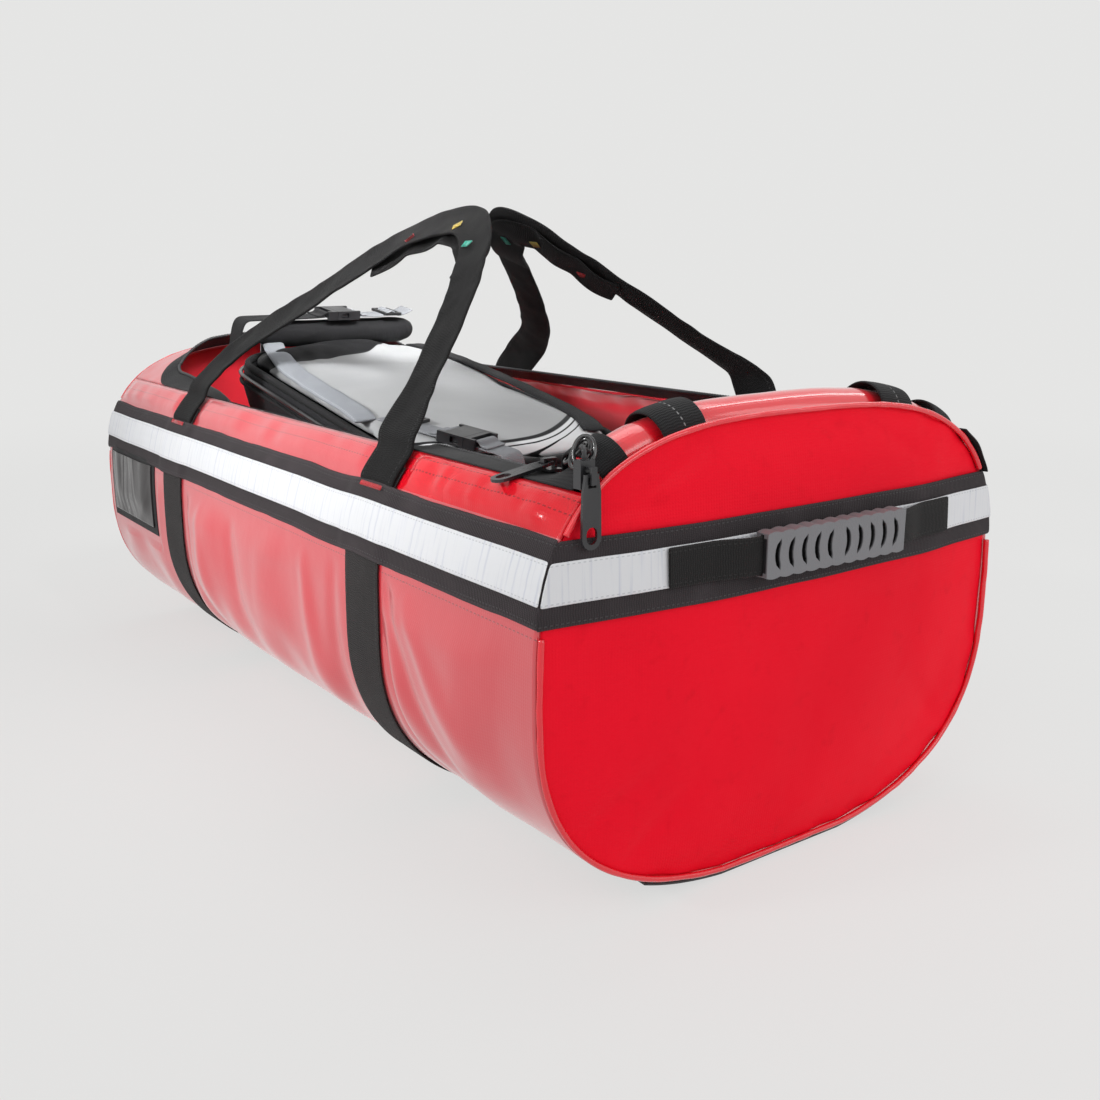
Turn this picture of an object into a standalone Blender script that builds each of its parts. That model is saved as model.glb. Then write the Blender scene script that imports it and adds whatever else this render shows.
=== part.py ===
"""Child rescue bag: an open duffel with its lid rolled up and a child carrier inside.

X runs along the bag (+X is the near end, where the lid is rolled), Y across it
(-Y is the left side) and Z up. The origin is on the floor, under the bag's middle.
"""
import math

import bmesh
import bpy
from mathutils import Matrix, Vector

GAP = 0.0003                    # free space between pieces that touch

# Bag body
BAG_LENGTH = 0.830              # over the two end seams
BAG_WIDTH = 0.418               # at the widest height
BAG_HEIGHT = 0.309              # top of the end panel's arch
WIDEST_HEIGHT = 0.150
UPPER_SQUARENESS = 3.1          # superellipse exponents of the end outline
LOWER_SQUARENESS = 2.6
BASE_FLATTENING = 0.002         # how much of the lower curve the floor presses flat
WALL = 0.0025                   # body skin with its seams
END_BULGE = 0.014               # how far an end panel domes out
PANEL_RINGS = 3
STATIONS = 34                   # bends of the outline on each side
STATION_MERGE = 0.0008
PIPING_DIAMETER = 0.004

# Opening
OPENING_EDGE_HEIGHT = 0.272
FAR_EDGE_X = -0.386
FAR_CORNER_REACH = 0.075        # how far the rounded far corners run along the bag
FAR_CORNER_SHARE = 0.42         # and how much of the half width they take
NEAR_EDGE_X = 0.398
TAPE_FOLD_START = 0.372         # the left tape stands up nearer than this
TAPE_FOLD_END = 0.352           # and lies folded inward beyond it
FAR_FOLD = 0.100                # length in which it stands up again to the far corner
TAPE_TILT = 8.0
TAPE_WIDTH = 0.020
TAPE_THICKNESS = 0.0016
COIL_DIAMETER = 0.003

# Webbing
WEBBING_WIDTH = 0.050
WEBBING = 0.0018
STRIPE_WIDTH = 0.025
STRIPE = 0.0008
BAND_BOTTOM = 0.198
BAND_TOP = BAND_BOTTOM + WEBBING_WIDTH
STRIPE_BOTTOM = 0.2115
FOOT_X = 0.200                  # handle feet and load straps, each side of the middle
BASE_PANEL = 0.0015
BASE_PANEL_REACH = 0.125        # along the skin from the middle line

# Lid roll
ROLL_RADIUS = 0.0150
ROLL_TURNS = 3
ROLL_SHEET = 0.0020
ROLL_PITCH = 0.0034             # growth of the roll's radius in one turn
ROLL_STEPS = 10                 # facets in one turn
ROLL_CENTRE_HEIGHT = 0.2975
ROLL_NEST = 0.0010              # how far the roll lies in the panel's dome
ROLL_DROOP = 0.026              # how much lower its ends hang
ROLL_BEND = 3.2
ROLL_END = 0.155                # reach of the roll to each side
ROLL_FRAMES = 13
WRAP = 0.0016
WRAP_GAP = 0.0006
LID_BAND_Y = 0.100
LID_BAND_WIDTH = 0.038
END_WRAP = (0.127, 0.1535)

# Handles
HANDLE_WEBBING = 0.0026
HANDLE_WIDTH = 0.048
LEG_WIDTH = 0.038               # the webbing is creased narrower up the legs
LEG_START = 0.030               # climb at which it starts to narrow
LEG_RUN = 0.060
HANDLE_RAISE = 0.0065           # handle's foot above the band, so that it can swing out
HANDLE_STEPS = 3
HANDLE_LINES = 5                # lines of points across the webbing
FOOT_LAP = 0.012                # load strap behind the handle's foot
APEX_Y = 0.004
APEX_Z = 0.4455
LOOP_WEBBING = 0.0020
LOOP_WIDTH = 0.036
LOOP_COUNT = 4
LOOP_HUMP = 0.0030

# Grips on the end panels
GRIP_LENGTH = 0.130
GRIP_HEIGHT = 0.0300
GRIP_DEPTH = 0.0100
GRIP_OFF_CENTRE = 0.010
GRIP_SLOTS = 10
GRIP_SLOT_WIDTH = 0.0042
GRIP_SLOT_HEIGHT = 0.0200
GRIP_SLOT_BOW = 0.0032
GRIP_SCALLOP = 0.0011
GRAB_STRAP_REACH = 0.132
GRAB_STRAP_WIDTH = 0.025
GRAB_STRAP = 0.0020
GRIP_CLEARANCE = 0.0005
GRIP_STANDOFF = 0.0108          # grip's middle in front of the panel
STRAP_MIDDLE = STRIPE_BOTTOM + STRIPE_WIDTH / 2
STRAP_RAMP = 0.035              # length in which the grab strap comes down to the stripe

# Pocket
POCKET_FAR_X = -0.402
POCKET_NEAR_X = -0.256
POCKET_BOTTOM = 0.126
POCKET_SHEET = 0.0012
WINDOW_SHEET = 0.0008
WINDOW_MARGIN = 0.008

# Zip sliders
SLIDER_LENGTH = 0.016
SLIDER_WIDTH = 0.0100
SLIDER_HEIGHT = 0.0068
SLIDER_SLOT = 0.0038
SLIDER_A_OUT = (0.0013, 0.0029, 0.0120)  # beyond the skin's end and the opening's edge, and above it
COIL_TURN = ((-0.0067, -0.0009, 0.0258), (-0.0015, 0.0017, 0.0264), (0.0009, 0.0028, 0.0246),
             (0.0013, 0.0029, 0.0220), (0.0013, 0.0029, 0.0045))     # near left end, from the same place
SLIDER_B_X = 0.342
LUG_LENGTH = 0.0100
LUG_WIDTH = 0.0040
LUG_HEIGHT = 0.0060
LUG_POST = 0.0016
PULL_LENGTH = 0.042
PULL_WIDTH = 0.0135
PULL_THICKNESS = 0.0020
PULL_NECK = 0.0048              # half width of the pull beside its hinge
PULL_BAR = 0.0016               # bar through the lug
PULL_EYE_LENGTH = 0.0060
PULL_EYE_WIDTH = 0.0056
PULL_HOLE_WIDTH = 0.0075
PULL_HOLE_LENGTH = 0.0100
PULL_B_TILT = 10.0              # how far under level the second pull rests

# Child carrier
CARRIER_CENTRE = (-0.063, -0.012, 0.268)
CARRIER_YAW = 3.0
CARRIER_PITCH = 8.5
RIM_LENGTH = 0.430
RIM_WIDTH = 0.228
RIM_CORNER = 0.055
RIM_COLLAR = 0.020              # upright part of the tub's wall under the rim
TUB_WALL = 0.008
TUB_BOTTOM_LENGTH = 0.360
TUB_BOTTOM_WIDTH = 0.140
TUB_BOTTOM_CORNER = 0.045
PAD_LENGTH = 0.420
PAD_WIDTH = 0.215
PAD_THICKNESS = 0.012
PAD_CROWN = 0.010
BINDING_DIAMETER = 0.006
CARRIER_PIPING_DIAMETER = 0.003
PIPING_DROP = 0.006             # piping's middle below the rim
HEAD_ROLL_RADIUS = 0.015
HEAD_ROLL_LENGTH = 0.190
HEAD_ROLL_X = -0.190
SIDE_PAD = (-0.160, 0.060, -0.085)      # both ends and the middle line
SIDE_PAD_WIDTH = 0.028
SIDE_PAD_THICKNESS = 0.006
BOARD_WIDTH = 0.170
BOARD_LENGTH = 0.780
BOARD = 0.0030

# Carrier straps, and their ladder-locks and side-release buckles
CARRIER_WEBBING_WIDTH = 0.025
CARRIER_WEBBING = 0.0016
LOWER_STRAP = (0.188, -0.068)   # where the lower buckle closes, in the carrier's frame
LOWER_STRAP_YAW = 18.0
UPPER_STRAP_Y = 0.008           # where the upper buckle closes
FOLD_RUN = 0.010                # webbing sewn back on itself behind a buckle
STRAP_FALL = 0.045              # webbing down the outside of the tub
STRAP_PAST_RIM = 0.012
LADDER_BAR = 0.0034
LADDER_SLOT = 0.0050
LADDER_SIDE = 0.0030
LADDER_THICKNESS = 0.0030
LADDER_AWAY = 0.068             # from the buckle's mouth to the ladder-lock's middle
STRAP_TAIL = 0.036
BUCKLE_WIDTH = 0.0320
BUCKLE_THICKNESS = 0.0090
BUCKLE_WALL = 0.0021
BUCKLE_BAR = 0.0025
BUCKLE_BAR_THICKNESS = 0.0030
BUCKLE_SLOT = 0.0032
BUCKLE_SLEEVE = 0.0205
BUCKLE_BASE = 0.0050
PRONG_LENGTH = 0.0172
PRONG_WIDTH = 0.0040
GUIDE_LENGTH = 0.0120
BUCKLE_WINDOW = (0.005, 0.013)  # from the mouth
BUCKLE_CLEARANCE = 0.0004

HANDLE_STANDOFF = WEBBING + 2 * GAP + HANDLE_WEBBING / 2
BASE_STACK = BASE_PANEL + WEBBING + 2 * GAP
SHELL_X = BAG_LENGTH / 2 - PIPING_DIAMETER - GAP
ROLL_X = SHELL_X - WALL + ROLL_NEST - GAP - ROLL_RADIUS - WRAP_GAP - WRAP
TAPE_FOOT = 2 * GAP + TAPE_THICKNESS / 2
COIL_REACH = TAPE_FOOT + TAPE_WIDTH + COIL_DIAMETER / 2 + GAP


def clear_scene():
    for thing in list(bpy.data.objects):
        bpy.data.objects.remove(thing, do_unlink=True)


def new_collection(name):
    group = bpy.data.collections.new(name)
    bpy.context.scene.collection.children.link(group)
    return group


MATERIALS = {
    "red_pvc": ((0.80, 0.010, 0.028), 0.30, 0.0),
    "black_webbing": ((0.028, 0.028, 0.030), 0.80, 0.0),
    "black_tape": ((0.016, 0.016, 0.017), 0.60, 0.0),
    "reflective": ((0.80, 0.82, 0.84), 0.35, 0.0),
    "black_pvc": ((0.020, 0.020, 0.021), 0.40, 0.0),
    "clear_window": ((0.10, 0.09, 0.09), 0.12, 0.0),
    "grip_rubber": ((0.30, 0.30, 0.31), 0.55, 0.0),
    "zip_metal": ((0.035, 0.035, 0.037), 0.35, 0.8),
    "grey_pad": ((0.48, 0.49, 0.50), 0.60, 0.0),
    "grey_webbing": ((0.34, 0.35, 0.36), 0.80, 0.0),
    "buckle_plastic": ((0.018, 0.018, 0.019), 0.35, 0.0),
    "carrier_fabric": ((0.020, 0.020, 0.022), 0.75, 0.0),
    "red_piping": ((0.62, 0.012, 0.020), 0.40, 0.0),
    "board": ((0.06, 0.06, 0.06), 0.70, 0.0),
}


def material(name):
    found = bpy.data.materials.get(name)
    if found:
        return found
    colour, roughness, metallic = MATERIALS[name]
    made = bpy.data.materials.new(name)
    made.use_nodes = True
    shader = made.node_tree.nodes["Principled BSDF"]
    shader.inputs["Base Color"].default_value = (*colour, 1.0)
    shader.inputs["Roughness"].default_value = roughness
    shader.inputs["Metallic"].default_value = metallic
    made.diffuse_color = (*colour, 1.0)
    return made


def add_mesh_object(name, shape, look, group):
    """Turns a bmesh into a named object with its own material."""
    mesh = bpy.data.meshes.new(name)
    shape.to_mesh(mesh)
    shape.free()
    made = bpy.data.objects.new(name, mesh)
    group.objects.link(made)
    if look:
        mesh.materials.append(material(look))
    return made


def shade(thing, angle=40.0):
    thing.data.shade_smooth()
    thing.data.set_sharp_from_angle(angle=math.radians(angle))


def solidify(thing, thickness, side):
    """Gives an open surface its thickness; side 1 is outward, -1 inward, 0 both ways."""
    change = thing.modifiers.new("thickness", "SOLIDIFY")
    change.thickness = thickness
    change.offset = side
    change.use_even_offset = True


def bevel(thing, width, segments=2, angle=35.0):
    change = thing.modifiers.new("edges", "BEVEL")
    change.width = width
    change.segments = segments
    change.limit_method = "ANGLE"
    change.angle_limit = math.radians(angle)


def subtract(thing, cutter):
    change = thing.modifiers.new("cut " + cutter.name, "BOOLEAN")
    change.operation = "DIFFERENCE"
    change.solver = "EXACT"
    change.object = cutter


def hide_cutter(thing):
    thing.hide_render = True
    thing.display_type = "WIRE"


def box(name, size, place, look, group):
    """A box of a given size whose frame is the matrix place."""
    shape = bmesh.new()
    bmesh.ops.create_cube(shape, size=1.0)
    bmesh.ops.scale(shape, vec=Vector(size), verts=shape.verts)
    made = add_mesh_object(name, shape, look, group)
    made.matrix_world = place
    return made


def ribbon(name, rows, thickness, side, look, group):
    """A strip through rows of points; it faces the way of its first row crossed with its rows."""
    shape = bmesh.new()
    across, along = len(rows[0]) - 1, len(rows) - 1
    bmesh.ops.create_grid(shape, x_segments=across, y_segments=along, size=1.0)
    for vert in shape.verts:
        column = round((vert.co.x + 1) / 2 * across)
        row = round((vert.co.y + 1) / 2 * along)
        vert.co = rows[row][column]
    made = add_mesh_object(name, shape, look, group)
    solidify(made, thickness, side)
    return made


# The end outline


def outline_half(samples=600):
    """Points (y, z) of the right half of the end outline, from the base up to the arch."""
    half_width = BAG_WIDTH / 2
    upper = BAG_HEIGHT - WIDEST_HEIGHT
    lower = WIDEST_HEIGHT - BASE_STACK + BASE_FLATTENING
    points = []
    for step in range(samples + 1):
        angle = math.pi * (step / samples - 0.5)
        squareness = UPPER_SQUARENESS if angle > 0 else LOWER_SQUARENESS
        reach = upper if angle > 0 else lower
        y = half_width * abs(math.cos(angle)) ** (2 / squareness)
        z = WIDEST_HEIGHT + math.copysign(abs(math.sin(angle)) ** (2 / squareness), angle) * reach
        points.append((0.0 if step in (0, samples) else y, max(z, BASE_STACK)))
    return points


class Outline:
    """The end outline by its length, measured from the base's middle; left is negative.

    Lengths beyond the top of the arch run down the left side. Every strip bends at the
    same stations, so that skins and webbing lie flat on each other.
    """

    def __init__(self):
        smooth = outline_half()
        travelled = [0.0]
        for first, second in zip(smooth, smooth[1:]):
            travelled.append(travelled[-1] + math.dist(first, second))
        self.points = []
        index = 0
        for station in range(STATIONS + 1):
            target = travelled[-1] * station / STATIONS
            while index < len(travelled) - 2 and travelled[index + 1] < target:
                index += 1
            share = (target - travelled[index]) / (travelled[index + 1] - travelled[index])
            first, second = smooth[index], smooth[index + 1]
            self.points.append(tuple(low + share * (high - low) for low, high in zip(first, second)))
        self.lengths = [0.0]
        for first, second in zip(self.points, self.points[1:]):
            self.lengths.append(self.lengths[-1] + math.dist(first, second))
        self.half = self.lengths[-1]

    def at_height(self, height):
        """The length at which the right side reaches a height."""
        for index in range(1, len(self.points)):
            low, high = self.points[index - 1][1], self.points[index][1]
            if low < height <= high:
                share = (height - low) / (high - low)
                return self.lengths[index - 1] + share * (self.lengths[index] - self.lengths[index - 1])
        return self.half

    def at_width(self, width):
        """The length at which the arch, above the widest height, comes in to a half width."""
        for index in range(len(self.points) - 1, 0, -1):
            inner, outer = self.points[index][0], self.points[index - 1][0]
            if inner <= width < outer:
                share = (outer - width) / (outer - inner)
                return self.lengths[index - 1] + share * (self.lengths[index] - self.lengths[index - 1])
        return self.half

    def stations(self, first, last):
        """The lengths from first to last where a strip bends."""
        turns = [length + lap for lap in (-2 * self.half, 0.0, 2 * self.half)
                 for length in [-value for value in reversed(self.lengths[1:])] + self.lengths[:-1]]
        inside = [length for length in turns if first + STATION_MERGE < length < last - STATION_MERGE]
        return [first] + inside + [last]

    def side_normal(self, index):
        """The outward normal of the span after a station, on the right side."""
        if index < 0:
            y, z = self.side_normal(-index - 1)
            return -y, z
        if index >= len(self.points) - 1:
            y, z = self.side_normal(2 * len(self.points) - 3 - index)
            return -y, z
        first, second = self.points[index], self.points[index + 1]
        run, rise = second[0] - first[0], second[1] - first[1]
        size = math.hypot(run, rise)
        return rise / size, -run / size

    def point(self, length, offset=0.0):
        """The outline point at a length, moved outward by offset."""
        if length > self.half:
            length -= 2 * self.half
        if length < -self.half:
            length += 2 * self.half
        side = -1.0 if length < 0 else 1.0
        target = abs(length)
        index = 0
        while index < len(self.lengths) - 2 and self.lengths[index + 1] < target - STATION_MERGE:
            index += 1
        first, second = self.points[index], self.points[index + 1]
        share = (target - self.lengths[index]) / (self.lengths[index + 1] - self.lengths[index])
        y = first[0] + share * (second[0] - first[0])
        z = first[1] + share * (second[1] - first[1])
        normal = Vector(self.side_normal(index))
        if share < 1e-4:
            other = Vector(self.side_normal(index - 1))
            normal = (normal + other) / (1 + normal.dot(other))
        elif share > 1 - 1e-4:
            other = Vector(self.side_normal(index + 1))
            normal = (normal + other) / (1 + normal.dot(other))
        return side * (y + offset * normal.x), z + offset * normal.y


OUTLINE = Outline()
EDGE_LENGTH = OUTLINE.at_height(OPENING_EDGE_HEIGHT)
EDGE_Y = OUTLINE.point(EDGE_LENGTH)[0]
HANDLE_FOOT = OUTLINE.at_height(BAND_TOP) + HANDLE_RAISE
HINGE = OUTLINE.point(HANDLE_FOOT, HANDLE_STANDOFF)


def by_the_corner(out):
    """A point near the near left corner, from the skin's end and the opening's edge."""
    return Vector((SHELL_X + out[0], -(EDGE_Y + out[1]), OPENING_EDGE_HEIGHT + out[2]))


def spread(first, last, count):
    return [first + (last - first) * step / (count - 1) for step in range(count)]


def skin_row(x, lengths, offset):
    row = []
    for length in lengths:
        y, z = OUTLINE.point(length, offset)
        row.append(Vector((x, y, z)))
    return row


def skin_strip(name, lengths, x_ends, offset, thickness, look, group):
    """A strip of skin or webbing along the end outline; a negative thickness grows inward."""
    rows = [skin_row(x, lengths, offset) for x in sorted(x_ends)]
    return ribbon(name, rows, abs(thickness), math.copysign(1, thickness), look, group)


def centre_radius(y, z):
    """0 at the middle of an end panel and 1 on its outline."""
    half_width = BAG_WIDTH / 2
    upper = z > WIDEST_HEIGHT
    reach = (BAG_HEIGHT - WIDEST_HEIGHT) if upper else (WIDEST_HEIGHT - BASE_STACK)
    power = UPPER_SQUARENESS if upper else LOWER_SQUARENESS
    total = abs(y / half_width) ** power + abs((z - WIDEST_HEIGHT) / reach) ** power
    return min(1.0, total ** (1 / power))


def panel_x(y, z, end, offset):
    """Where a piece lies on the domed end panel; end is 1 at the near end, -1 at the far."""
    dome = END_BULGE * (1 - centre_radius(y, z) ** 2)
    return end * (SHELL_X + dome + offset)


def panel_strip(name, y_values, heights, end, offset, thickness, look, group):
    """A strip across an end panel, between two heights."""
    rows = [[Vector((panel_x(y, z, end, offset), y, z)) for y in y_values] for z in heights]
    if end < 0:
        rows.reverse()
    return ribbon(name, rows, thickness, 1, look, group)


# Bag body


def make_shell(group):
    lengths = OUTLINE.stations(-EDGE_LENGTH, EDGE_LENGTH)
    shell = skin_strip("side_and_base_skin", lengths, (SHELL_X, -SHELL_X), 0.0, -WALL, "red_pvc", group)
    shade(shell)


def make_end_panel(name, end, group):
    """A domed sheet inside the skin's end, made of rings that shrink to its middle."""
    shape = bmesh.new()
    lengths = OUTLINE.stations(-OUTLINE.half, OUTLINE.half)[:-1]
    count = len(lengths)
    inset = WALL + GAP
    edge = [OUTLINE.point(length, -inset) for length in lengths]
    loop = []
    for y, z in edge:
        loop.append(shape.verts.new((end * SHELL_X, y, z)))
    edges = [shape.edges.new((loop[i], loop[(i + 1) % count])) for i in range(count)]
    for ring in range(1, PANEL_RINGS + 1):
        share = 1 - ring / (PANEL_RINGS + 0.6)
        grown = bmesh.ops.extrude_edge_only(shape, edges=edges)["geom"]
        fresh = [item for item in grown if isinstance(item, bmesh.types.BMVert)]
        edges = [item for item in grown if isinstance(item, bmesh.types.BMEdge)
                 and all(vert in fresh for vert in item.verts)]
        outer = 1 - (ring - 1) / (PANEL_RINGS + 0.6)
        for vert in fresh:
            y = vert.co.y * share / outer
            z = WIDEST_HEIGHT + (vert.co.z - WIDEST_HEIGHT) * share / outer
            vert.co = (end * (SHELL_X + END_BULGE * (1 - share ** 2)), y, z)
    bmesh.ops.holes_fill(shape, edges=edges, sides=count)
    bmesh.ops.recalc_face_normals(shape, faces=shape.faces)
    middle = max(shape.faces, key=lambda face: face.calc_area())
    if middle.normal.x * end < 0:
        bmesh.ops.reverse_faces(shape, faces=shape.faces)
    panel = add_mesh_object(name, shape, "red_pvc", group)
    solidify(panel, WALL, -1)
    shade(panel)


def top_height(y):
    return OUTLINE.point(OUTLINE.at_width(abs(y)))[1]


def far_edge_x(y):
    """The opening's edge in plan: square to the bag in the middle, rounded at the corners."""
    corner = EDGE_Y * FAR_CORNER_SHARE
    inner = EDGE_Y - corner
    if abs(y) <= inner:
        return FAR_EDGE_X
    share = min(1.0, (abs(y) - inner) / corner)
    return FAR_EDGE_X + FAR_CORNER_REACH * (1 - math.sqrt(max(0.0, 1 - share ** 2)))


def make_far_deck(group):
    """The strip of skin between the far panel and the opening's rounded end."""
    inner = EDGE_LENGTH + 2 * GAP
    lengths = OUTLINE.stations(inner, 2 * OUTLINE.half - inner)
    rows = [[], []]
    for length in lengths:
        y, z = OUTLINE.point(length)
        rows[0].append(Vector((-SHELL_X, y, z)))
        rows[1].append(Vector((far_edge_x(y) - GAP, y, z)))
    deck = ribbon("far_top_deck", rows, WALL, -1, "red_pvc", group)
    shade(deck)


def piping_curve(name, lengths, end, group):
    points = []
    for length in lengths:
        y, z = OUTLINE.point(length, -PIPING_DIAMETER / 2)
        points.append((end * (BAG_LENGTH / 2 - PIPING_DIAMETER / 2), y, z))
    return tube(name, points, PIPING_DIAMETER, "red_pvc", group, resolution=1)


def tube(name, points, diameter, look, group, resolution=2, closed=False):
    """A round cord or tube along a line of points, as a mesh with welded caps."""
    curve = bpy.data.curves.new(name, "CURVE")
    curve.dimensions = "3D"
    curve.bevel_depth = diameter / 2
    curve.bevel_resolution = resolution
    curve.use_fill_caps = not closed
    line = curve.splines.new("POLY")
    line.points.add(len(points) - 1)
    for spot, point in zip(line.points, points):
        spot.co = (*point, 1.0)
    line.use_cyclic_u = closed
    return mesh_from_curve(name, curve, look, group)


def mesh_from_curve(name, curve, look, group):
    source = bpy.data.objects.new(name + "_line", curve)
    bpy.context.scene.collection.objects.link(source)
    bpy.context.view_layer.update()
    graph = bpy.context.evaluated_depsgraph_get()
    mesh = bpy.data.meshes.new_from_object(source.evaluated_get(graph))
    shape = bmesh.new()
    shape.from_mesh(mesh)
    bmesh.ops.remove_doubles(shape, verts=shape.verts, dist=0.00001)
    bmesh.ops.recalc_face_normals(shape, faces=shape.faces)
    bpy.data.objects.remove(source, do_unlink=True)
    bpy.data.meshes.remove(mesh)
    made = add_mesh_object(name, shape, look, group)
    shade(made)
    return made


def make_piping(group):
    """A welt in the corner between panel and skin, above and below the webbing band."""
    low = OUTLINE.at_height(BAND_BOTTOM) - PIPING_DIAMETER
    high = OUTLINE.at_height(BAND_TOP) + PIPING_DIAMETER
    for label, end in (("near", 1), ("far", -1)):
        piping_curve(label + "_piping_lower", OUTLINE.stations(-low, low), end, group)
        piping_curve(label + "_piping_upper", OUTLINE.stations(high, 2 * OUTLINE.half - high), end, group)


def make_bands(group):
    band = [OUTLINE.at_height(BAND_BOTTOM), OUTLINE.at_height(BAND_TOP)]
    stripe = [OUTLINE.at_height(STRIPE_BOTTOM), OUTLINE.at_height(STRIPE_BOTTOM + STRIPE_WIDTH)]
    band_x = SHELL_X + GAP + WEBBING
    for label, sign in (("left", -1), ("right", 1)):
        lengths = OUTLINE.stations(*sorted(sign * length for length in band))
        skin_strip(label + "_band", lengths, (band_x, -band_x), 2 * GAP + WEBBING, WEBBING,
                   "black_webbing", group)
        lengths = OUTLINE.stations(*sorted(sign * length for length in stripe))
        skin_strip(label + "_reflective_stripe", lengths, (band_x, -band_x), 3 * GAP + 2 * WEBBING, STRIPE,
                   "reflective", group)
    for label, end in (("near", 1), ("far", -1)):
        reach = OUTLINE.point(band[1])[0]
        y_values = spread(-reach, reach, 25)
        panel_strip(label + "_band", y_values, spread(BAND_BOTTOM, BAND_TOP, 5), end, GAP, WEBBING,
                    "black_webbing", group)
        heights = spread(STRIPE_BOTTOM, STRIPE_BOTTOM + STRIPE_WIDTH, 3)
        panel_strip(label + "_reflective_stripe", y_values, heights, end, WEBBING + 2 * GAP, STRIPE,
                    "reflective", group)


def make_load_straps(group):
    """Webbing from handle foot to handle foot, behind the bands and round under the base."""
    top = HANDLE_FOOT + FOOT_LAP
    lengths = OUTLINE.stations(-top, top)
    for label, x in (("near", FOOT_X), ("far", -FOOT_X)):
        x_ends = (x - WEBBING_WIDTH / 2, x + WEBBING_WIDTH / 2)
        skin_strip(label + "_load_strap", lengths, x_ends, GAP, WEBBING, "black_webbing", group)


def make_base_panel(group):
    """The hard-wearing sheet under the base, which the bag rests on."""
    lengths = OUTLINE.stations(-BASE_PANEL_REACH, BASE_PANEL_REACH)
    skin_strip("base_panel", lengths, (SHELL_X, -SHELL_X), WEBBING + 2 * GAP, BASE_PANEL, "black_pvc", group)


def make_board(group):
    """The stiffener that lies loose on the base, inside the bag."""
    lengths = OUTLINE.stations(-BOARD_WIDTH / 2, BOARD_WIDTH / 2)
    x_ends = (-BOARD_LENGTH / 2, BOARD_LENGTH / 2)
    skin_strip("base_board", lengths, x_ends, -(WALL + GAP), -BOARD, "board", group)


def make_pocket(group):
    top = OUTLINE.at_height(BAND_BOTTOM) - GAP
    bottom = OUTLINE.at_height(POCKET_BOTTOM)
    skin_strip("id_pocket_back", OUTLINE.stations(-top, -bottom), (POCKET_NEAR_X, POCKET_FAR_X), GAP, POCKET_SHEET,
               "black_pvc", group)
    lengths = OUTLINE.stations(-top + WINDOW_MARGIN, -bottom - WINDOW_MARGIN)
    x_ends = (POCKET_NEAR_X - WINDOW_MARGIN, POCKET_FAR_X + WINDOW_MARGIN)
    skin_strip("id_pocket_window", lengths, x_ends, POCKET_SHEET + 2 * GAP, WINDOW_SHEET,
               "clear_window", group)


# Zip


def track_line():
    """The opening's edge from the near left corner round the far end to the near right."""
    points = [(x, -EDGE_Y) for x in spread(NEAR_EDGE_X, TAPE_FOLD_START, 3)[:-1]]
    points += [(x, -EDGE_Y) for x in spread(TAPE_FOLD_START, TAPE_FOLD_END, 6)[:-1]]
    for x in spread(TAPE_FOLD_END, FAR_EDGE_X + FAR_CORNER_REACH, 14)[:-1]:
        points.append((x, -EDGE_Y))
    corner = EDGE_Y * FAR_CORNER_SHARE
    for step in range(8):
        angle = math.pi / 2 * step / 8
        y = -(EDGE_Y - corner) - corner * math.cos(angle)
        points.append((FAR_EDGE_X + FAR_CORNER_REACH * (1 - math.sin(angle)), y))
    for y in spread(corner - EDGE_Y, 0.0, 5):
        points.append((FAR_EDGE_X, y))
    mirrored = [(x, -y) for x, y in reversed(points[:-1])]
    return points + mirrored


def tape_lean(x, y):
    """Which way the tape points from the edge: up, but folded inward along the left side."""
    corner_x = FAR_EDGE_X + FAR_CORNER_REACH
    fold = 0.0
    if y < 0 and x > corner_x:
        near_share = (TAPE_FOLD_START - x) / (TAPE_FOLD_START - TAPE_FOLD_END)
        fold = max(0.0, min(1.0, (x - corner_x) / FAR_FOLD, near_share))
    tilt = math.radians(TAPE_TILT + (90 - TAPE_TILT) * fold)
    inward = Vector((0.0, -1.0 if y > 0 else 1.0, 0.0))
    if x < corner_x and abs(y) < EDGE_Y * 0.95:
        inward = Vector((1.0, 0.0, 0.0))
    return (inward * math.sin(tilt) + Vector((0, 0, 1)) * math.cos(tilt)).normalized()


def edge_point(x, y):
    return Vector((x, y, top_height(y)))


def make_zip_tape(group):
    lower = []
    upper = []
    for x, y in track_line():
        base = edge_point(x, y)
        lean = tape_lean(x, y)
        base = base + lean * TAPE_FOOT
        lower.append(base)
        upper.append(base + lean * TAPE_WIDTH)
    ribbon("zip_tape", [lower, upper], TAPE_THICKNESS, 0, "black_tape", group)
    coil = [by_the_corner(out) for out in reversed(COIL_TURN)]
    for (x, y), rim in zip(track_line(), upper):
        coil.append(rim + tape_lean(x, y) * (COIL_DIAMETER / 2 + 2 * GAP))
    tube("zip_coil", coil, COIL_DIAMETER, "black_tape", group, resolution=1)


# Lid roll


def roll_frame(y):
    """The roll's centre and outward direction at a place across the bag, between its frames."""
    places = spread(-ROLL_END, ROLL_END, ROLL_FRAMES)
    index = min(ROLL_FRAMES - 2, max(0, int((y + ROLL_END) / (places[1] - places[0]) + 0.0001)))
    frames = []
    for place in places[index:index + 2]:
        share = abs(place) / ROLL_END
        slope = math.copysign(ROLL_DROOP * ROLL_BEND / ROLL_END * share ** (ROLL_BEND - 1), place)
        height = ROLL_CENTRE_HEIGHT - ROLL_DROOP * share ** ROLL_BEND
        frames.append((Vector((ROLL_X, place, height)), Vector((0, slope, 1)).normalized()))
    share = (y - places[index]) / (places[1] - places[0])
    return frames[0][0].lerp(frames[1][0], share), frames[0][1].lerp(frames[1][1], share)


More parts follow.
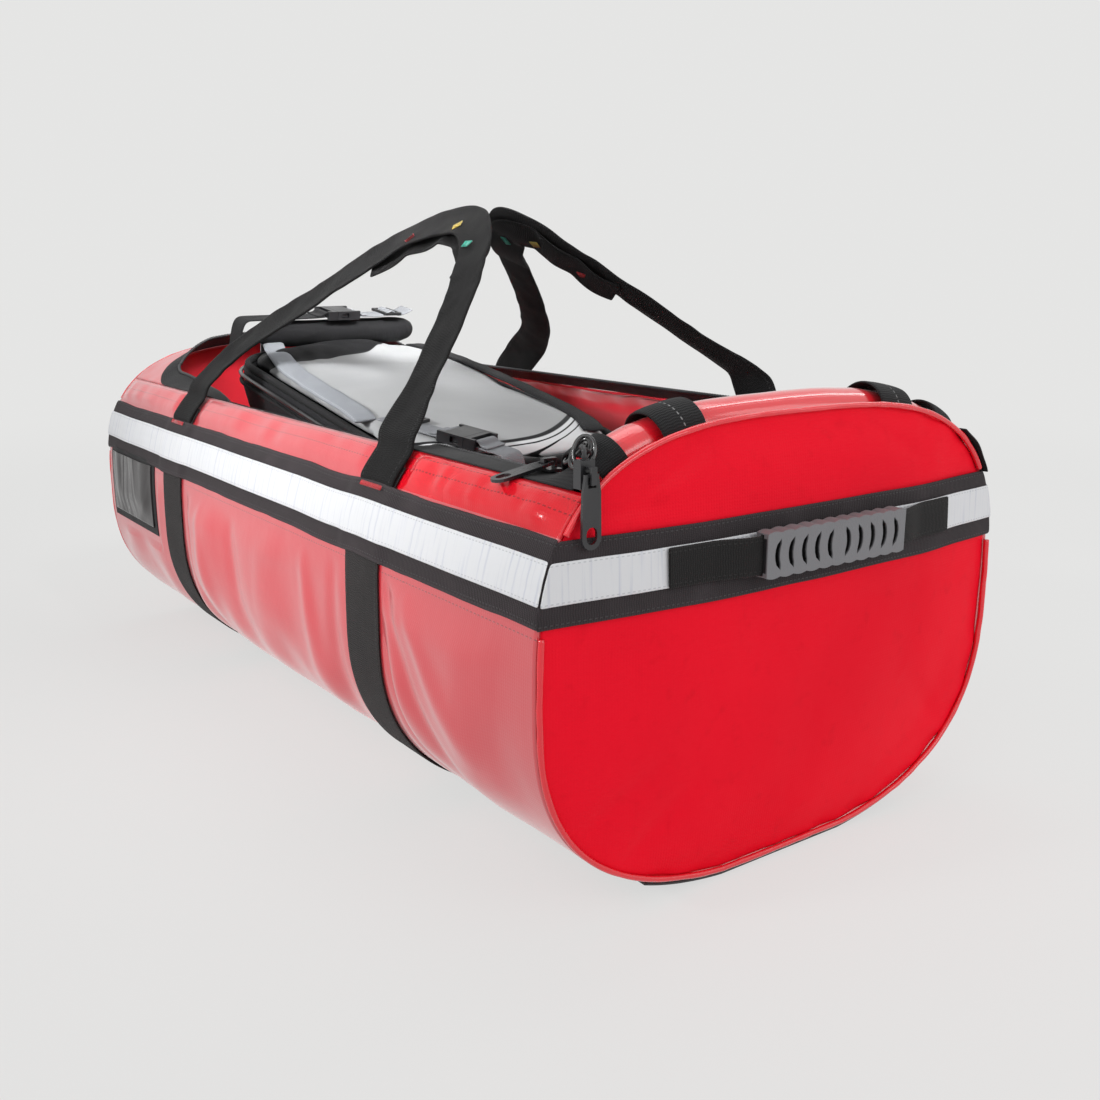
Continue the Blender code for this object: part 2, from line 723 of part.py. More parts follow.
def roll_places(first, last):
    """Places across the bag from first to last: both ends and the roll's own frames between."""
    inside = [y for y in spread(-ROLL_END, ROLL_END, ROLL_FRAMES) if first + 0.001 < y < last - 0.001]
    return [first] + inside + [last]


def around(frame, radius, angle):
    centre, outward = frame
    return centre + Vector((radius * math.cos(angle), 0, 0)) + outward * radius * math.sin(angle)


def make_lid_roll(group):
    """The lid, rolled up from its far end; its outer edge is sewn to the near panel's arch."""
    steps = ROLL_TURNS * ROLL_STEPS
    outer = ROLL_RADIUS - ROLL_SHEET / 2
    rows = []
    for y in reversed(roll_places(-ROLL_END, ROLL_END)):
        frame = roll_frame(y)
        row = []
        for step in range(steps + 1):
            turn = step / ROLL_STEPS
            row.append(around(frame, outer - ROLL_PITCH * turn, -2 * math.pi * turn + math.radians(20)))
        rows.append(row)
    roll = ribbon("rolled_lid", rows, ROLL_SHEET, 0, "red_pvc", group)
    shade(roll, 50)


def make_wrap(name, y_first, y_last, group):
    """Webbing or zip tape that is sewn on the lid and so comes round with the roll."""
    angles = [math.radians(angle) for angle in spread(-80, 260, 18)]
    rows = []
    for y in reversed(roll_places(y_first, y_last)):
        frame = roll_frame(y)
        rows.append([around(frame, ROLL_RADIUS + WRAP_GAP, angle) for angle in angles])
    wrap = ribbon(name, rows, WRAP, 1, "black_tape", group)
    shade(wrap, 50)


def make_wraps(group):
    low, high = LID_BAND_Y - LID_BAND_WIDTH / 2, LID_BAND_Y + LID_BAND_WIDTH / 2
    for piece, first, last in (("lid_zip_tape", *END_WRAP), ("lid_band", low, high)):
        make_wrap("left_" + piece, -last, -first, group)
        make_wrap("right_" + piece, first, last, group)


# Handles


def smooth_line(points, steps):
    """A smooth curve through points, as a list of points."""
    points = [Vector(point) for point in points]
    padded = [2 * points[0] - points[1]] + points + [2 * points[-1] - points[-2]]
    line = []
    for index in range(1, len(padded) - 2):
        before, here, after, beyond = padded[index - 1:index + 3]
        for step in range(steps):
            share = step / steps
            line.append(0.5 * (2 * here + (after - before) * share
                               + (2 * before - 5 * here + 4 * after - beyond) * share ** 2
                               + (3 * here - before - 3 * after + beyond) * share ** 3))
    line.append(points[-1])
    return line


def handle_profile(sign):
    """Where a handle climbs, seen from the end: up the skin, past the zip tape, then inward."""
    corners = []
    for length in OUTLINE.stations(HANDLE_FOOT, EDGE_LENGTH)[:-1]:
        y, z = OUTLINE.point(length, HANDLE_STANDOFF)
        corners.append(Vector((0, sign * y, z)))
    side = sign * (EDGE_Y + HANDLE_STANDOFF + 2 * GAP)
    bottom = OPENING_EDGE_HEIGHT + 2 * GAP
    rise = COIL_REACH + 2 * COIL_DIAMETER if sign > 0 else 2 * HANDLE_STANDOFF
    corners += [Vector((0, side, bottom)), Vector((0, side, bottom + rise))]
    corners.append(Vector((0, sign * APEX_Y, APEX_Z)))
    return corners


def foot_climbs(sign):
    """The distances up the profile at which it bends."""
    corners = handle_profile(sign)
    climbs = [0.0]
    for first, second in zip(corners, corners[1:-1]):
        climbs.append(climbs[-1] + (second - first).length)
    return climbs


def handle_place(x, climb, sign, offset):
    """A point of a handle at a distance up its profile, moved outward by offset."""
    corners = handle_profile(sign)
    last = len(corners) - 2
    for index in range(last + 1):
        run = (corners[index + 1] - corners[index]).length
        if climb <= run + 0.00001 or index == last:
            break
        climb -= run
    way = (corners[index + 1] - corners[index]).normalized()
    outward = Vector((0, sign * way.z, -sign * way.y))
    return Vector((x, 0, 0)) + corners[index] + way * climb + outward * offset


def handle_width(climb):
    share = min(1.0, max(0.0, (climb - LEG_START) / LEG_RUN))
    return HANDLE_WIDTH + (LEG_WIDTH - HANDLE_WIDTH) * share * share * (3 - 2 * share)


def loop_width(climb):
    return LOOP_WIDTH


def strap_rows(route, width, sign, offset, feet):
    """Lines along a strap whose middle follows a route of (x, climb) points."""
    line = smooth_line([(x, climb, 0.0) for x, climb in route], HANDLE_STEPS)
    sides = spread(1, -1, HANDLE_LINES)
    rows = [[] for side in sides]
    for index, spot in enumerate(line):
        before, after = line[max(index - 1, 0)], line[min(index + 1, len(line) - 1)]
        way = (after - before).normalized()
        if feet and index in (0, len(line) - 1):
            way = Vector((0, 1 if index == 0 else -1, 0))
        across = Vector((way.y, -way.x, 0)) * width(spot.y) / 2
        lift = offset(index / (len(line) - 1)) if callable(offset) else offset
        for row, side in zip(rows, sides):
            place = spot + across * side
            row.append(handle_place(place.x, place.y, sign, lift))
    if feet:
        climbs = [climb for climb in foot_climbs(sign) if climb < route[0][1] - STATION_MERGE]
        for row, side in zip(rows, sides):
            reach = side * width(0.0) / 2
            start = [handle_place(route[0][0] + reach, climb, sign, 0.0) for climb in climbs]
            finish = [handle_place(route[-1][0] - reach, climb, sign, 0.0) for climb in climbs]
            row[:0] = start
            row.extend(reversed(finish))
    return rows


LEFT_HANDLE_ROUTE = [(0.200, 0.0135), (0.197, 0.030), (0.188, 0.052), (0.175, 0.082), (0.157, 0.118), (0.137, 0.154),
                     (0.112, 0.190), (0.084, 0.224), (0.048, 0.247), (0.004, 0.247), (-0.045, 0.227),
                     (-0.084, 0.190), (-0.119, 0.152), (-0.157, 0.114), (-0.184, 0.078), (-0.196, 0.045),
                     (-0.199, 0.028), (-0.200, 0.0135)]
RIGHT_HANDLE_ROUTE = [(0.200, 0.0135), (0.196, 0.032), (0.182, 0.055), (0.160, 0.086), (0.139, 0.122),
                      (0.118, 0.160), (0.096, 0.196), (0.074, 0.232), (0.046, 0.254), (0.014, 0.238),
                      (-0.008, 0.209), (-0.026, 0.178), (-0.048, 0.145), (-0.073, 0.114), (-0.106, 0.085),
                      (-0.146, 0.059), (-0.179, 0.037), (-0.195, 0.024), (-0.200, 0.0135)]
LEFT_LOOP_ROUTE = [(0.098, 0.196), (0.078, 0.219), (0.044, 0.240), (0.006, 0.240), (-0.040, 0.221), (-0.066, 0.197)]
RIGHT_LOOP_ROUTE = [(0.109, 0.164), (0.091, 0.192), (0.069, 0.227), (0.044, 0.246), (0.018, 0.232), (-0.002, 0.206)]


def make_handles(group):
    for label, sign, route, loop_route in (("left", -1, LEFT_HANDLE_ROUTE, LEFT_LOOP_ROUTE),
                                           ("right", 1, RIGHT_HANDLE_ROUTE, RIGHT_LOOP_ROUTE)):
        rows = strap_rows(route, handle_width, sign, 0.0, True)
        if sign > 0:
            rows.reverse()
        handle = ribbon(label + "_handle", rows, HANDLE_WEBBING, 0, "black_webbing", group)
        set_origin(handle, (0, sign * HINGE[0], HINGE[1]))

        def under(share):
            hump = abs(math.sin(math.pi * LOOP_COUNT * share)) * LOOP_HUMP
            return -(HANDLE_WEBBING / 2 + LOOP_WEBBING / 2 + GAP + hump)

        rows = strap_rows(loop_route, loop_width, sign, under, False)
        if sign > 0:
            rows.reverse()
        loops = ribbon(label + "_handle_loops", rows, LOOP_WEBBING, 0, "black_webbing", group)
        set_origin(loops, (0, sign * HINGE[0], HINGE[1]))


def set_origin(thing, place):
    """Moves an object's origin to a joint axis and leaves its shape where it is."""
    shift = Matrix.Translation(Vector(place))
    thing.data.transform(shift.inverted() @ thing.matrix_world)
    thing.matrix_world = shift


# Grips


def prism(name, outline, depth, look, group, place):
    """A flat outline in its own XY plane, given a depth and set into a frame."""
    shape = bmesh.new()
    bmesh.ops.create_circle(shape, cap_ends=True, segments=len(outline), radius=1.0)
    for corner, (x, y) in zip(shape.faces[:][0].loops, outline):
        corner.vert.co = (x, y, -depth / 2)
    grown = bmesh.ops.extrude_face_region(shape, geom=shape.faces[:])["geom"]
    raised = [item for item in grown if isinstance(item, bmesh.types.BMVert)]
    bmesh.ops.translate(shape, vec=(0, 0, depth), verts=raised)
    bmesh.ops.recalc_face_normals(shape, faces=shape.faces)
    made = add_mesh_object(name, shape, look, group)
    made.matrix_world = place
    return made


def grip_outline():
    """Long edges in scallops, one over each rib between the slots."""
    half = GRIP_LENGTH / 2
    outline = []
    samples = 5 * (GRIP_SLOTS + 1)
    for side in (1, -1):
        for step in range(samples + 1):
            x = side * (half - GRIP_LENGTH * step / samples)
            swell = GRIP_SCALLOP * abs(math.sin(math.pi * (GRIP_SLOTS + 1) * step / samples))
            outline.append((x, side * (GRIP_HEIGHT / 2 - GRIP_SCALLOP + swell)))
    return outline


def slot_outline(bow):
    """A curved slot: two arcs that bow the same way, met by its rounded tips."""
    points = []
    for side in (1, -1):
        for step in range(7):
            share = side * (1 - 2 * step / 6)
            height = share * GRIP_SLOT_HEIGHT / 2
            middle = bow * (1 - share ** 2) * GRIP_SLOT_BOW
            width = GRIP_SLOT_WIDTH / 2 * math.sqrt(max(0.0, 1 - share ** 4))
            if abs(share) > 0.999 and side < 0:
                continue
            points.append((middle + side * width, height))
    return points


def make_grip(label, end, group, cutters):
    """A moulded grip with curved finger slots, threaded on its strap."""
    middle = Vector((panel_x(GRIP_OFF_CENTRE * end, STRAP_MIDDLE, end, GRIP_STANDOFF), GRIP_OFF_CENTRE * end,
                     STRAP_MIDDLE))
    turn = Matrix(((0, 0, end), (end, 0, 0), (0, 1, 0))).to_4x4()
    place = Matrix.Translation(middle) @ turn
    grip = prism(label + "_grip", grip_outline(), GRIP_DEPTH, "grip_rubber", group, place)
    channel = box(label + "_grip_channel", (GRIP_LENGTH * 1.1, GRAB_STRAP_WIDTH + 2 * GRIP_CLEARANCE,
                                            GRAB_STRAP + 2 * GRIP_CLEARANCE), place, None, cutters)
    hide_cutter(channel)
    subtract(grip, channel)
    pitch = GRIP_LENGTH / (GRIP_SLOTS + 1)
    for index in range(GRIP_SLOTS):
        x = (index - (GRIP_SLOTS - 1) / 2) * pitch
        bow = -1 if x < 0 else 1
        front = place @ Matrix.Translation((x, 0, GRIP_DEPTH / 2))
        cutter = prism("%s_grip_slot_%d" % (label, index + 1), slot_outline(bow), GRIP_DEPTH, None, cutters, front)
        hide_cutter(cutter)
        subtract(grip, cutter)
    bake(grip)
    return middle


def bake(thing):
    """Keeps the result of an object's modifiers as its mesh."""
    bpy.context.view_layer.update()
    graph = bpy.context.evaluated_depsgraph_get()
    mesh = bpy.data.meshes.new_from_object(thing.evaluated_get(graph))
    thing.modifiers.clear()
    old = thing.data
    thing.data = mesh
    bpy.data.meshes.remove(old)


def make_grab_strap(label, end, middle, group):
    """Webbing that is sewn down on the stripe at both ends and rises to pass through the grip."""
    centre = GRIP_OFF_CENTRE * end
    low = WEBBING + STRIPE + 5 * GAP + GRAB_STRAP / 2
    flat = GRIP_LENGTH / 2 + GRAB_STRAP
    away_steps = [0.0, flat] + [flat + STRAP_RAMP * step / 6 for step in range(1, 7)] + [GRAB_STRAP_REACH]
    y_values = [centre - away for away in reversed(away_steps[1:])] + [centre + away for away in away_steps]
    rows = [[], []]
    for y in y_values:
        share = min(1.0, max(0.0, (abs(y - centre) - flat) / STRAP_RAMP))
        ease = share * share * (3 - 2 * share)
        for row, z in zip(rows, (STRAP_MIDDLE - GRAB_STRAP_WIDTH / 2, STRAP_MIDDLE + GRAB_STRAP_WIDTH / 2)):
            row.append(Vector((middle.x * (1 - ease) + panel_x(y, z, end, low) * ease, y, z)))
    if end < 0:
        rows.reverse()
    ribbon(label + "_grab_strap", rows, GRAB_STRAP, 0, "black_webbing", group)


def make_grips(group, cutters):
    for label, end in (("near", 1), ("far", -1)):
        middle = make_grip(label, end, group, cutters)
        make_grab_strap(label, end, middle, group)


# Zip sliders and pulls


def join(thing, other):
    """Unites a helper with a piece; the helper stays behind as a guide."""
    change = thing.modifiers.new("join " + other.name, "BOOLEAN")
    change.operation = "UNION"
    change.solver = "EXACT"
    change.object = other
    hide_cutter(other)


def make_slider(name, place, lug_turn, group, cutters):
    """A slider body with a slot for the coil and a lug that carries the pull."""
    over = place @ Matrix.Rotation(lug_turn, 4, "Z")
    body = box(name, (SLIDER_LENGTH, SLIDER_WIDTH, SLIDER_HEIGHT), place, "zip_metal", group)
    top = (SLIDER_HEIGHT + LUG_HEIGHT) / 2
    lug = box(name + "_lug", (LUG_LENGTH, LUG_WIDTH, LUG_HEIGHT + 2 * GAP),
              over @ Matrix.Translation((0, 0, top - GAP)), None, cutters)
    slot = box(name + "_slot", (SLIDER_LENGTH * 1.2, SLIDER_WIDTH, SLIDER_SLOT),
               place @ Matrix.Translation((0, -SLIDER_WIDTH * 0.3, 0)), None, cutters)
    window = box(name + "_window", (LUG_LENGTH - 2 * LUG_POST, LUG_WIDTH * 1.5, LUG_HEIGHT - LUG_POST),
                 over @ Matrix.Translation((0, 0, top - LUG_POST / 2)), None, cutters)
    join(body, lug)
    for cutter in (slot, window):
        hide_cutter(cutter)
        subtract(body, cutter)
    bake(body)


def rounded_slot(length, width, centre):
    """A slot with round ends that runs along X."""
    points = []
    straight = (length - width) / 2
    for side in (1, -1):
        for step in range(7):
            angle = math.pi * (step / 6 - 0.5) + (0 if side > 0 else math.pi)
            points.append((centre + side * straight + width / 2 * math.cos(angle), width / 2 * math.sin(angle)))
    return points


def make_pull(name, place, group, cutters):
    """A pull tab: a plate with a finger hole and an eye whose end bar runs through the lug."""
    half = PULL_WIDTH / 2
    outline = []
    for step in range(9):
        angle = math.pi * (step / 8 - 0.5)
        outline.append((PULL_LENGTH - half + half * math.cos(angle), half * math.sin(angle)))
    shoulder = PULL_EYE_LENGTH + 2 * PULL_BAR
    outline += [(shoulder, half * 0.92), (PULL_BAR, PULL_NECK), (-PULL_BAR / 2, PULL_NECK)]
    outline += [(-PULL_BAR / 2, -PULL_NECK), (PULL_BAR, -PULL_NECK), (shoulder, -half * 0.92)]
    pull = prism(name, outline, PULL_THICKNESS, "zip_metal", group, place)
    hole = prism(name + "_hole", rounded_slot(PULL_HOLE_LENGTH, PULL_HOLE_WIDTH, PULL_LENGTH - PULL_WIDTH * 0.6),
                 PULL_THICKNESS * 3, None, cutters, place)
    eye = box(name + "_eye", (PULL_EYE_LENGTH, PULL_EYE_WIDTH, PULL_THICKNESS * 3),
              place @ Matrix.Translation((PULL_BAR / 2 + PULL_EYE_LENGTH / 2, 0, 0)), None, cutters)
    for cutter in (hole, eye):
        hide_cutter(cutter)
        subtract(pull, cutter)
    bake(pull)


def axes(x_axis, z_axis, origin):
    """A frame from its X and Z directions and its origin."""
    x_axis, z_axis = Vector(x_axis).normalized(), Vector(z_axis).normalized()
    y_axis = z_axis.cross(x_axis)
    turn = Matrix((x_axis, y_axis, z_axis)).transposed().to_4x4()
    return Matrix.Translation(Vector(origin)) @ turn


def make_zip_hardware(group, cutters):
    """Slider A rests on the corner of the end panel; slider B is on the left coil."""
    bar_height = SLIDER_HEIGHT / 2 + LUG_HEIGHT - LUG_POST - PULL_THICKNESS / 2 - GAP
    place = axes((0, 0, 1), (1, 0, 0), by_the_corner(SLIDER_A_OUT))
    make_slider("zip_slider_a", place, 0.0, group, cutters)
    bar = place @ Vector((0, 0, bar_height))
    make_pull("zip_pull_a", axes((0, 0, -1), (1, 0, 0), bar), group, cutters)
    coil_y = -(EDGE_Y - COIL_REACH)
    place = Matrix.Translation((SLIDER_B_X, coil_y, OPENING_EDGE_HEIGHT))
    make_slider("zip_slider_b", place, math.pi / 2, group, cutters)
    bar = place @ Vector((0, 0, bar_height))
    tilt = math.radians(PULL_B_TILT)
    outward = (0, -math.cos(tilt), -math.sin(tilt))
    make_pull("zip_pull_b", axes(outward, (0, -math.sin(tilt), math.cos(tilt)), bar), group, cutters)


# Child carrier


CARRIER = (Matrix.Translation(Vector(CARRIER_CENTRE)) @ Matrix.Rotation(math.radians(CARRIER_YAW), 4, "Z")
           @ Matrix.Rotation(math.radians(CARRIER_PITCH), 4, "Y"))


def rounded_rectangle(length, width, corner, steps=6):
    """Points of a rounded rectangle about the origin, anticlockwise."""
    points = []
    for quarter in range(4):
        along = (length / 2 - corner) * (1 if quarter in (0, 3) else -1)
        across = (width / 2 - corner) * (1 if quarter in (0, 1) else -1)
        for step in range(steps + 1):
            angle = math.pi / 2 * (quarter + step / steps)
            points.append((along + corner * math.cos(angle), across + corner * math.sin(angle)))
    return points


def loft(name, rings, caps, look, group):
    """A skin over closed rings of equal counts; caps names the rings that are closed off."""
    shape = bmesh.new()
    count = len(rings[0])
    bmesh.ops.create_grid(shape, x_segments=count, y_segments=len(rings) - 1, size=1.0)
    ends = {cap: [] for cap in caps}
    for vert in shape.verts:
        column = round((vert.co.x + 1) / 2 * count) % count
        row = round((vert.co.y + 1) / 2 * (len(rings) - 1))
        vert.co = rings[row][column]
        if row in ends:
            ends[row].append(vert)
    bmesh.ops.remove_doubles(shape, verts=shape.verts, dist=0.000001)
    for cap in caps:
        rim = {vert for vert in ends[cap] if vert.is_valid}
        edges = [edge for edge in shape.edges if edge.verts[0] in rim and edge.verts[1] in rim]
        bmesh.ops.holes_fill(shape, edges=edges, sides=count)
    bmesh.ops.recalc_face_normals(shape, faces=shape.faces)
    lowest = min(shape.faces, key=lambda face: face.calc_center_median().z)
    if lowest.normal.z > 0:
        bmesh.ops.reverse_faces(shape, faces=shape.faces)
    made = add_mesh_object(name, shape, look, group)
    shade(made)
    return made


def pad_top(x, y):
    """Height of the pad's crowned top over the rim, in the carrier's frame."""
    along, across = x / (PAD_LENGTH / 2), y / (PAD_WIDTH / 2)
    return PAD_THICKNESS + PAD_CROWN * (1 - along ** 2) * (1 - across ** 2)


def board_top(reach):
    """Height of the board's upper face at a distance from the bag's middle line."""
    for length in spread(0.0, OUTLINE.half / 2, 400):
        y, z = OUTLINE.point(length, -(WALL + GAP + BOARD))
        if y >= reach:
            break
    return z


def make_tub(group):
    """The padded tub, open at the top; its floor lies level on the board."""
    rim = [CARRIER @ Vector((x, y, 0)) for x, y in rounded_rectangle(RIM_LENGTH, RIM_WIDTH, RIM_CORNER)]
    turn = Matrix.Rotation(math.radians(CARRIER_YAW), 4, "Z")
    bottom = []
    for x, y in rounded_rectangle(TUB_BOTTOM_LENGTH, TUB_BOTTOM_WIDTH, TUB_BOTTOM_CORNER):
        bottom.append(turn @ Vector((x, y, 0)) + Vector((CARRIER_CENTRE[0], 0, 0)))
    floor = board_top(max(abs(spot.y) for spot in bottom)) + GAP
    for spot in bottom:
        spot.z = floor
    collar = [CARRIER @ Vector((x, y, -RIM_COLLAR))
              for x, y in rounded_rectangle(RIM_LENGTH, RIM_WIDTH, RIM_CORNER)]
    rings = []
    for step in range(4):
        rise = step / 3
        rings.append([low.lerp(high, rise) for low, high in zip(bottom, collar)])
    rings.append(rim)
    tub = loft("carrier_tub", rings, (0,), "carrier_fabric", group)
    solidify(tub, TUB_WALL, -1)
    return tub


def make_pad(group):
    """The crowned pad on the tub's rim, with drawn-in sides."""
    rings = []
    outline = rounded_rectangle(PAD_LENGTH, PAD_WIDTH, RIM_CORNER)
    for share, rise in ((0.975, 0.0), (0.997, 0.2), (1.0, 0.5), (0.997, 0.8)):
        rings.append([CARRIER @ Vector((x * share, y * share, GAP + (PAD_THICKNESS - GAP) * rise))
                      for x, y in outline])
    for share in (0.975, 0.90, 0.78, 0.62, 0.42, 0.20):
        rings.append([CARRIER @ Vector((x * share, y * share, pad_top(x * share, y * share)))
                      for x, y in outline])
    loft("carrier_pad", rings, (0, len(rings) - 1), "grey_pad", group)


def rim_ring(name, length, width, grow, height, diameter, look, group):
    """A cord round an outline of the carrier; grow is how far outside it the cord's middle lies."""
    points = [CARRIER @ Vector((x, y, height)) for x, y in
              rounded_rectangle(length + 2 * grow, width + 2 * grow, RIM_CORNER + grow)]
    tube(name, points, diameter, look, group, resolution=1, closed=True)


def pad_strip(name, x_values, y_values, lift, thickness, look, group):
    """A strip that lies on the crowned pad."""
    rows = [[CARRIER @ Vector((x, y, pad_top(x, y) + lift)) for x in x_values] for y in y_values]
    return ribbon(name, rows, thickness, 1, look, group)


def make_carrier(group):
    make_tub(group)
    make_pad(group)
    radius = BINDING_DIAMETER / 2
    rim_ring("carrier_edge_binding", PAD_LENGTH, PAD_WIDTH, radius + GAP, radius + 2 * GAP, BINDING_DIAMETER,
             "black_tape", group)
    radius = CARRIER_PIPING_DIAMETER / 2
    rim_ring("carrier_piping", RIM_LENGTH, RIM_WIDTH, radius + GAP, -PIPING_DROP, CARRIER_PIPING_DIAMETER,
             "red_piping", group)
    first, last, middle = SIDE_PAD
    half = SIDE_PAD_WIDTH / 2
    side = pad_strip("carrier_side_pad", spread(first, last, 12), spread(middle - half, middle + half, 4), GAP,
                     SIDE_PAD_THICKNESS, "grey_webbing", group)
    bevel(side, 0.0018, 2)
    centre = Vector((HEAD_ROLL_X, 0, pad_top(HEAD_ROLL_X, 0) + HEAD_ROLL_RADIUS + GAP))
    ends = [CARRIER @ (centre + Vector((0, side * HEAD_ROLL_LENGTH / 2, 0))) for side in (-1, 1)]
    tube("carrier_head_roll", ends, 2 * HEAD_ROLL_RADIUS, "carrier_fabric", group, resolution=4)


def on_pad(x, y):
    return abs(x) < PAD_LENGTH / 2 and abs(y) < PAD_WIDTH / 2


def pad_frame(place, yaw, reach, half_width):
    """A frame on the crowned pad, turned by yaw, that clears the pad over its whole reach."""
    start = Vector(place)
    way = Vector((math.cos(yaw), math.sin(yaw)))
    across = Vector((-way.y, way.x))
    middle = start + way * (reach[0] + reach[1]) / 2
    ahead, behind = middle + way * 0.001, middle - way * 0.001
    fall = (pad_top(*behind) - pad_top(*ahead)) / 0.002
    height = 0.0
    for along in spread(*reach, 25):
        for side in spread(-half_width, half_width, 9):
            spot = start + way * along + across * side
            if on_pad(*spot):
                height = max(height, pad_top(*spot) + fall * along)
    return (CARRIER @ Matrix.Translation((start.x, start.y, height + GAP)) @ Matrix.Rotation(yaw, 4, "Z")
            @ Matrix.Rotation(math.atan(fall), 4, "Y"))


def strap_frames():
    """Frames whose X runs along a strap to its male buckle; z 0 is what the strap lies on."""
    reach = (-LADDER_AWAY - STRAP_TAIL, BUCKLE_CLEARANCE + BUCKLE_BASE + BUCKLE_SLOT + BUCKLE_BAR + FOLD_RUN)
    lower = pad_frame(LOWER_STRAP, math.radians(LOWER_STRAP_YAW), reach, BUCKLE_WIDTH / 2)
    top = pad_top(HEAD_ROLL_X, 0) + 2 * HEAD_ROLL_RADIUS + 2 * GAP
    upper = CARRIER @ axes((0, -1, 0), (0, 0, 1), (HEAD_ROLL_X, UPPER_STRAP_Y, top))
    return lower, upper


BAR_MIDDLE = BUCKLE_THICKNESS / 2
STRAP_LOW = BAR_MIDDLE - BUCKLE_BAR_THICKNESS / 2 - GAP - CARRIER_WEBBING / 2
STRAP_HIGH = BAR_MIDDLE + BUCKLE_BAR_THICKNESS / 2 + GAP + CARRIER_WEBBING / 2


def bar_fold(bar_start, way):
    """Webbing round a buckle's bar: under it, up, back over it and down on the first layer."""
    clear = GAP + CARRIER_WEBBING / 2
    near, far = bar_start - way * clear, bar_start + way * (BUCKLE_BAR + clear)
    second = STRAP_LOW + CARRIER_WEBBING + GAP
    return [(far, STRAP_LOW), (far, STRAP_HIGH), (near, STRAP_HIGH), (near - way * 0.003, second),
            (near - way * FOLD_RUN, second)]


def ladder_weave(middle):
    """Webbing through a ladder-lock: up through one slot, over the middle bar, down the other."""
    tilt = math.radians(60)
    low, high = -GAP - CARRIER_WEBBING / 2, LADDER_THICKNESS + GAP + CARRIER_WEBBING / 2
    bar, slot = LADDER_BAR / 2, LADDER_BAR / 2 + LADDER_SLOT
    line = (bar * math.sin(tilt) + LADDER_THICKNESS * math.cos(tilt) + slot * math.sin(tilt)) / 2
    outer = (line - low * math.cos(tilt)) / math.sin(tilt)
    inner = (line - high * math.cos(tilt)) / math.sin(tilt)
    base = STRAP_LOW - low
    return [(middle - outer, base + low), (middle - inner, base + high),
            (middle + inner, base + high), (middle + outer, base + low)]


def strap(name, profile, frame, group):
    half = CARRIER_WEBBING_WIDTH / 2
    rows = [[frame @ Vector((u, v, z)) for u, z in profile] for v in (-half, half)]
    ribbon(name, rows, CARRIER_WEBBING, 0, "grey_webbing", group)


def make_ladder_lock(name, middle, frame, group, cutters):
    length = LADDER_BAR + 2 * (LADDER_SLOT + LADDER_SIDE)
    place = frame @ Matrix.Translation((middle, 0, STRAP_LOW + CARRIER_WEBBING / 2 + GAP + LADDER_THICKNESS / 2))
    lock = box(name, (length, BUCKLE_WIDTH, LADDER_THICKNESS), place, "buckle_plastic", group)
    for label, side in (("a", -1), ("b", 1)):
        slot = box(name + "_slot_" + label,
                   (LADDER_SLOT, CARRIER_WEBBING_WIDTH + 2 * BUCKLE_CLEARANCE, LADDER_THICKNESS * 2),
                   place @ Matrix.Translation((side * (LADDER_BAR + LADDER_SLOT) / 2, 0, 0)), None, cutters)
        hide_cutter(slot)
        subtract(lock, slot)
    bevel(lock, 0.0005, 1)


def cut_box(thing, label, low, high, width, height_ends, frame, cutters):
    """Cuts a box out of a buckle, from low to high along the strap."""
    middle = Vector(((low + high) / 2, 0, sum(height_ends) / 2))
    cutter = box(thing.name + "_" + label, (abs(high - low), width, height_ends[1] - height_ends[0]),
                 frame @ Matrix.Translation(middle), None, cutters)
    hide_cutter(cutter)
    subtract(thing, cutter)


def cut_bar(thing, bar, way, frame, cutters):
    """Opens the slot beside a buckle's bar and thins the bar; way points from bar to body."""
    width = CARRIER_WEBBING_WIDTH + 2 * BUCKLE_CLEARANCE
    over = BUCKLE_THICKNESS * 0.2
    inner = bar + way * BUCKLE_BAR
    cut_box(thing, "slot", inner, inner + way * BUCKLE_SLOT, width, (-over, BUCKLE_THICKNESS + over), frame,
            cutters)
    outer = bar - way * BUCKLE_BAR
    low, high = BAR_MIDDLE - BUCKLE_BAR_THICKNESS / 2, BAR_MIDDLE + BUCKLE_BAR_THICKNESS / 2
    cut_box(thing, "under_bar", outer, inner + way * GAP, width, (-over, low), frame, cutters)
    cut_box(thing, "over_bar", outer, inner + way * GAP, width, (high, BUCKLE_THICKNESS + over), frame, cutters)


